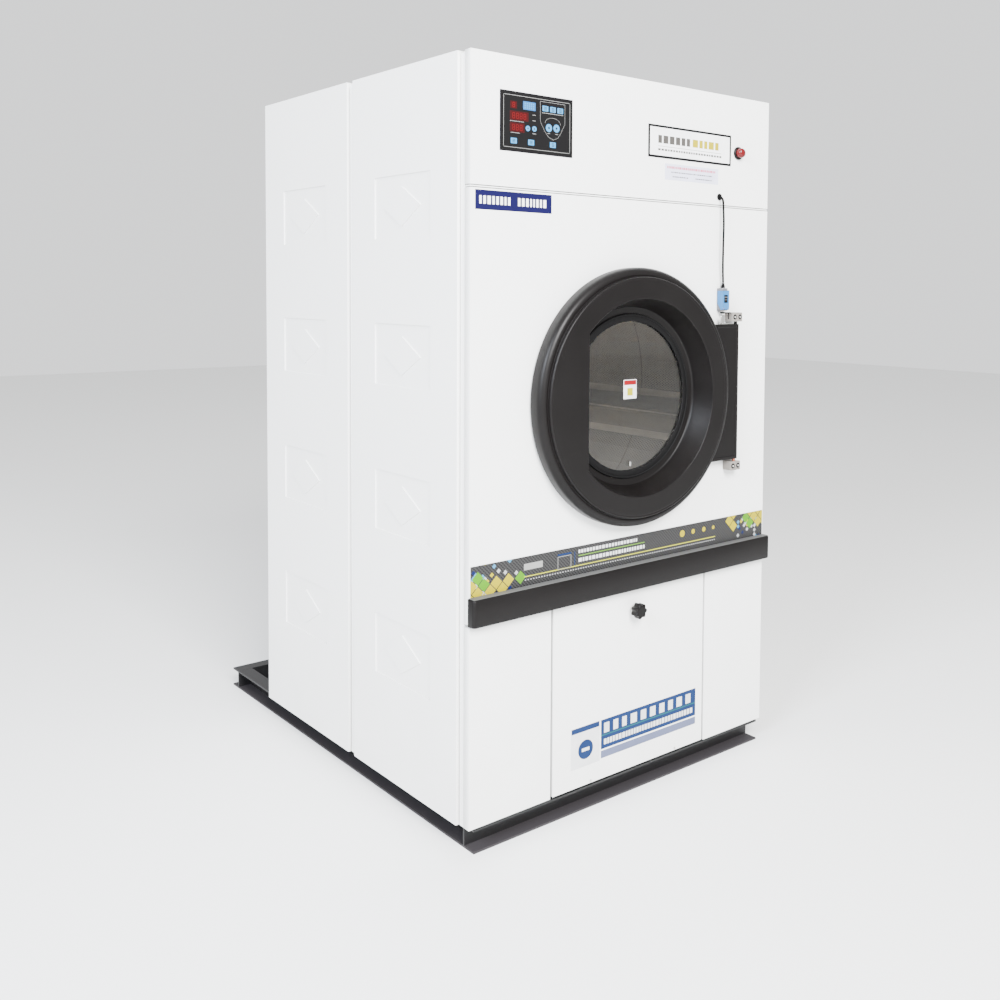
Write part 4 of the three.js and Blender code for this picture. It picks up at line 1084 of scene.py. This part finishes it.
def add_bumper(look):
    low, high = 524.2, 587.8
    outline = [(-502, 0.4), (-502, 16)]
    outline += [(x, -y) for x, y in arc_points(-494, -16, 8, 180, 270, 6)]
    outline += [(x, -y) for x, y in arc_points(494, -16, 8, 270, 360, 6)]
    outline += [(502, 16), (502, 0.4)]
    loops = []
    for inset, v in ((3.5, low), (1, low + 0.9), (0, low + 3.4), (0, high - 3.4), (1, high - 0.9), (3.5, high)):
        ring = []
        for x, depth in outline:
            pull = inset if depth > 1 else 0
            ring.append((x - math.copysign(pull, x) * (abs(x) > 493), pull - depth, v))
        loops.append(ring)
    skinned_piece("bumper_moulding", loops, look.black, replaces=["bumper_bar"], sharp=50)
    # A thin grey strip along the top of the moulding: a painted highlight for the light on its rounded top edge.
    soft_block("bumper_painted_highlight", (-499, -21, 587.4), (499, -0.5, 588.9), 0.5, look.trim, steps=2)


def add_knob(look):
    """The lint door's knob with seven lobes, and the stem and tongue behind it."""
    turns = [2 * math.pi * k / 84 for k in range(84)]
    star = [(math.cos(t), math.sin(t), 18 + 2 * math.cos(7 * t)) for t in turns]
    profile = [(0.55, 11), (0.8, 11.4), (0.97, 13), (1, 15), (1, 30), (0.97, 32.4), (0.88, 33.8), (0.6, 34.4)]
    loops = [[(x * r * share, -w, KNOB_Z + z * r * share) for x, z, r in star] for share, w in profile]
    skinned_piece("knob_head", loops, look.black, "lint_latch", ["lint_knob"])
    stem = [(0, -12), (11, -12), (11, -2), (10, -1.2), (5, -1.2), (5, 45), (0, 45)]
    turned_piece("knob_stem", stem, look.steel, "lint_latch", (0, KNOB_Z), 32)
    soft_block("knob_tongue", (-15, 44.8, KNOB_Z - 4), (15, 51, KNOB_Z + 4), 1, look.steel, "lint_latch", steps=2)


def add_small_parts(look):
    pin = [(0, -1.2), (2.6, -1.1), (3.2, -0.7), (3.2, -0.2), (0, -0.2)]
    for k, x in enumerate((-137, 155)):
        turned_piece(f"lint_hinge_pin_{k + 1}", pin, look.steel, "lint_flap", (x, 66), 20)
    pane = front_plane(6)
    for name, outline, low, high, ink, edge in (
            ("", rounded(rectangle(-34, 10.5, 1004, 1052), 1), 0.03, 0.25, look.paper, 0.08),
            ("_head", rectangle(-32.5, 9, 1039, 1050.5), 0.25, 0.33, look.red, 0.03),
            ("_mark", rounded(rectangle(-24, 0.5, 1009, 1034), 4), 0.25, 0.33, look.yellow, 0.03)):
        slab(f"glass_sticker{name}", outline, pane, low, high, ink, "door", edge=edge)
    soft_block("glass_clip", (-13, 3.4, 834), (-7, 5.8, 846), 0.8, look.steel, "door", steps=2)


def add_lifters(look):
    """Three folded lifters: a roof-shaped body, two rubbed foot flanges, and a rounded ridge."""
    foot = 414
    arc = [(foot - 56 - 4 * math.sin(t), -10 * math.cos(t)) for t in (math.pi * i / 8 for i in range(1, 8))]
    roof = [(foot - 6, -52), (foot - 11, -52), (foot - 56, -10), *arc, (foot - 56, 10), (foot - 11, 52),
            (foot - 6, 52)]
    flange = [(foot - 6, 52), (foot - 11.4, 52.4), (foot - 10.6, 56), (foot - 9, 72), (foot - 6.8, 72.4)]
    ridge = [(foot - 59.6, -2.5), (foot - 60.6, -1.2), (foot - 60.8, 0), (foot - 60.6, 1.2), (foot - 59.6, 2.5)]
    for k, angle in enumerate(LIFTER_ANGLES):
        turn = math.radians(angle)
        inward = Vector((math.cos(turn), math.sin(turn)))
        sideways = Vector((-math.sin(turn), math.cos(turn)))
        node = f"drum_lifter_{k + 1}"
        for part, outline, side, steel in (("roof", roof, 1, look.drum_plain), ("foot_low", flange, -1, look.rubbed),
                                           ("foot_high", flange, 1, look.rubbed), ("ridge", ridge, 1, look.rubbed)):
            spots = [Vector((AXIS_X, AXIS_Z)) + inward * r + sideways * (side * a) for r, a in outline]
            loops = [[(spot.x, y, spot.y) for spot in spots] for y in (64, 850)]
            replaces, sharp = ([node], 25) if part == "roof" else ((), 35)
            skinned_piece(f"{node}_{part}", loops, steel, "drum", replaces, sharp)


def add_motor(name, centre, span, radius, drop, look):
    """A finned motor with end shields, a slotted fan cowl, a terminal box and a foot, in place of the node."""
    x, z = centre
    y0, y1 = span
    paint = look.motor
    fins = []
    count = 40
    for k in range(count):
        for share, reach in ((0, radius - 7), (0.3, radius - 7), (0.42, radius), (0.78, radius)):
            turn = math.tau * (k + share) / count
            fins.append((x + reach * math.cos(turn), z + reach * math.sin(turn)))
    loops = [[(p, y, q) for p, q in fins] for y in (y0 + 22, y1 - 52)]
    skinned_piece(f"{name}_fins", loops, paint, replaces=[name], smooth=False)
    shield = [(0, -6), (0.3, -6), (0.34, -2), (0.6, 0), (0.62, 6), (0.9, 9), (0.99, 12), (1.01, 15), (1.01, 23),
              (0.9, 24), (0, 24)]
    turned_piece(f"{name}_shield", [(radius * share, y0 + dy) for share, dy in shield], paint, centre=centre, count=64)
    wide = radius + 6
    cowl = [(0, -54), (radius, -54), (wide, -51), (wide, -16), (wide - 3, -8), (wide - 10, -3), (wide - 18, -1),
            (0, -1)]
    turned_piece(f"{name}_cowl", [(r, y1 + dy) for r, dy in cowl], paint, centre=centre, count=64)
    slots = []
    for reach in (0.24, 0.42, 0.6):
        for start in range(5, 365, 45):
            outer = arc_points(x, z, wide * reach + 5, start, start + 35, 6)
            slots.append(outer + arc_points(x, z, wide * reach, start + 35, start, 6))
    print_on(f"{name}_slots", slots, lambda u, v, w: (u, y1 - 1 + w, v), 0.3, look.rubber)
    top = z + radius + 26
    base = z - drop
    for part, low, high, edge in (
            ("box", (x - 42, y0 + 30, top - 32), (x + 42, y0 + 120, top), 3),
            ("lid", (x - 44, y0 + 28, top), (x + 44, y0 + 122, top + 6), 2),
            ("foot", (x - radius, y0 + 20, base), (x + radius, y0 + (y1 - y0) * 0.6, base + 12), 2)):
        soft_block(f"{name}_{part}", low, high, edge, paint)
    for k, (dx, dy) in enumerate(((-36, 36), (36, 36), (-36, 114), (36, 114))):
        head = [(0, top + 6), (4, top + 6), (4, top + 7.4), (3, top + 8.2), (0, top + 8.2)]
        turned_piece(f"{name}_lid_screw_{k + 1}", head, look.steel, centre=(x + dx, y0 + dy), count=20, upright=True)
    for side, label in ((-1, "left"), (1, "right")):
        outer = x + side * radius * 0.8
        low, high = sorted((outer, outer - side * 16))
        soft_block(f"{name}_rib_{label}", (low, y0 + 26, base + 10),
                   (high, y0 + (y1 - y0) * 0.58, z - radius * 0.5), 2, paint)


def rear_plane(u, v, w):
    return u, REAR_Y + w, v


def add_rear(look):
    add_motor("drive_motor", (MOTOR_X, MOTOR_Z), (1116, 1340), 82, 110, look)
    add_motor("fan_motor", (FAN_X, FAN_Z), (1168, 1330), 70, FAN_Z - 62.8, look)
    screws = [(side * 474, 110 + 310 * k) for side in (-1, 1) for k in range(6)]
    rivets = [(x, z) for z in (1248, 1332) for x in (268, 412)]
    screw = [(0, 0), (6, 0), (6, 1.4), (4.6, 3), (0, 3.4)]
    rivet = [(0, 1), (3, 1), (2.6, 2), (0, 2.6)]
    for name, profile, spots, count in (("rear_screw", screw, screws, 20), ("rear_plate_rivet", rivet, rivets, 16)):
        for k, spot in enumerate(spots):
            turned_piece(f"{name}_{k + 1}", [(r, REAR_Y + dy) for r, dy in profile], look.steel, centre=spot,
                         count=count)
    slab("rear_plate", rounded(rectangle(260, 420, 1240, 1340), 4), rear_plane, 0.02, 1,
         (look.tag[0], look.foil[1]))


# ---------------------------------------------------------------- the studio
def area_light(name, where, towards, size, power, color=(1, 1, 1)):
    data = bpy.data.lights.new(name, "AREA")
    data.size = size
    data.energy = power
    data.color = color
    lamp = bpy.data.objects.new(name, data)
    lamp.location = where
    lamp.rotation_euler = (Vector(towards) - Vector(where)).to_track_quat("-Z", "Y").to_euler()
    bpy.context.scene.collection.objects.link(lamp)


def add_stage():
    bm = bmesh.new()
    bmesh.ops.create_grid(bm, x_segments=1, y_segments=1, size=14)
    mesh = bpy.data.meshes.new("floor")
    bm.to_mesh(mesh)
    bm.free()
    floor = bpy.data.objects.new("floor", mesh)
    material, _, _ = new_material("floor", (0.78, 0.78, 0.77), 0.7)
    mesh.materials.append(material)
    bpy.context.scene.collection.objects.link(floor)
    world = bpy.data.worlds.new("studio")
    world.use_nodes = True
    background = world.node_tree.nodes["Background"]
    background.inputs["Color"].default_value = (0.93, 0.94, 0.95, 1)
    background.inputs["Strength"].default_value = 1.5
    bpy.context.scene.world = world
    area_light("key", (-1.6, -5.2, 4.2), (0, -0.6, 1.0), 2.4, 1500)
    area_light("fill", (-4.3, -2.0, 3.1), (0, -0.2, 1.0), 1.8, 680, (0.84, 0.90, 1.0))


add_camera()
LOOK = make_looks()
paint_cad_nodes(LOOK)
for add in (add_cable, add_panels, add_door, add_hinge, add_switch, add_controls, add_lamp, add_labels,
            add_lint_labels, add_band, add_bumper, add_knob, add_small_parts, add_lifters, add_rear):
    add(LOOK)
add_stage()
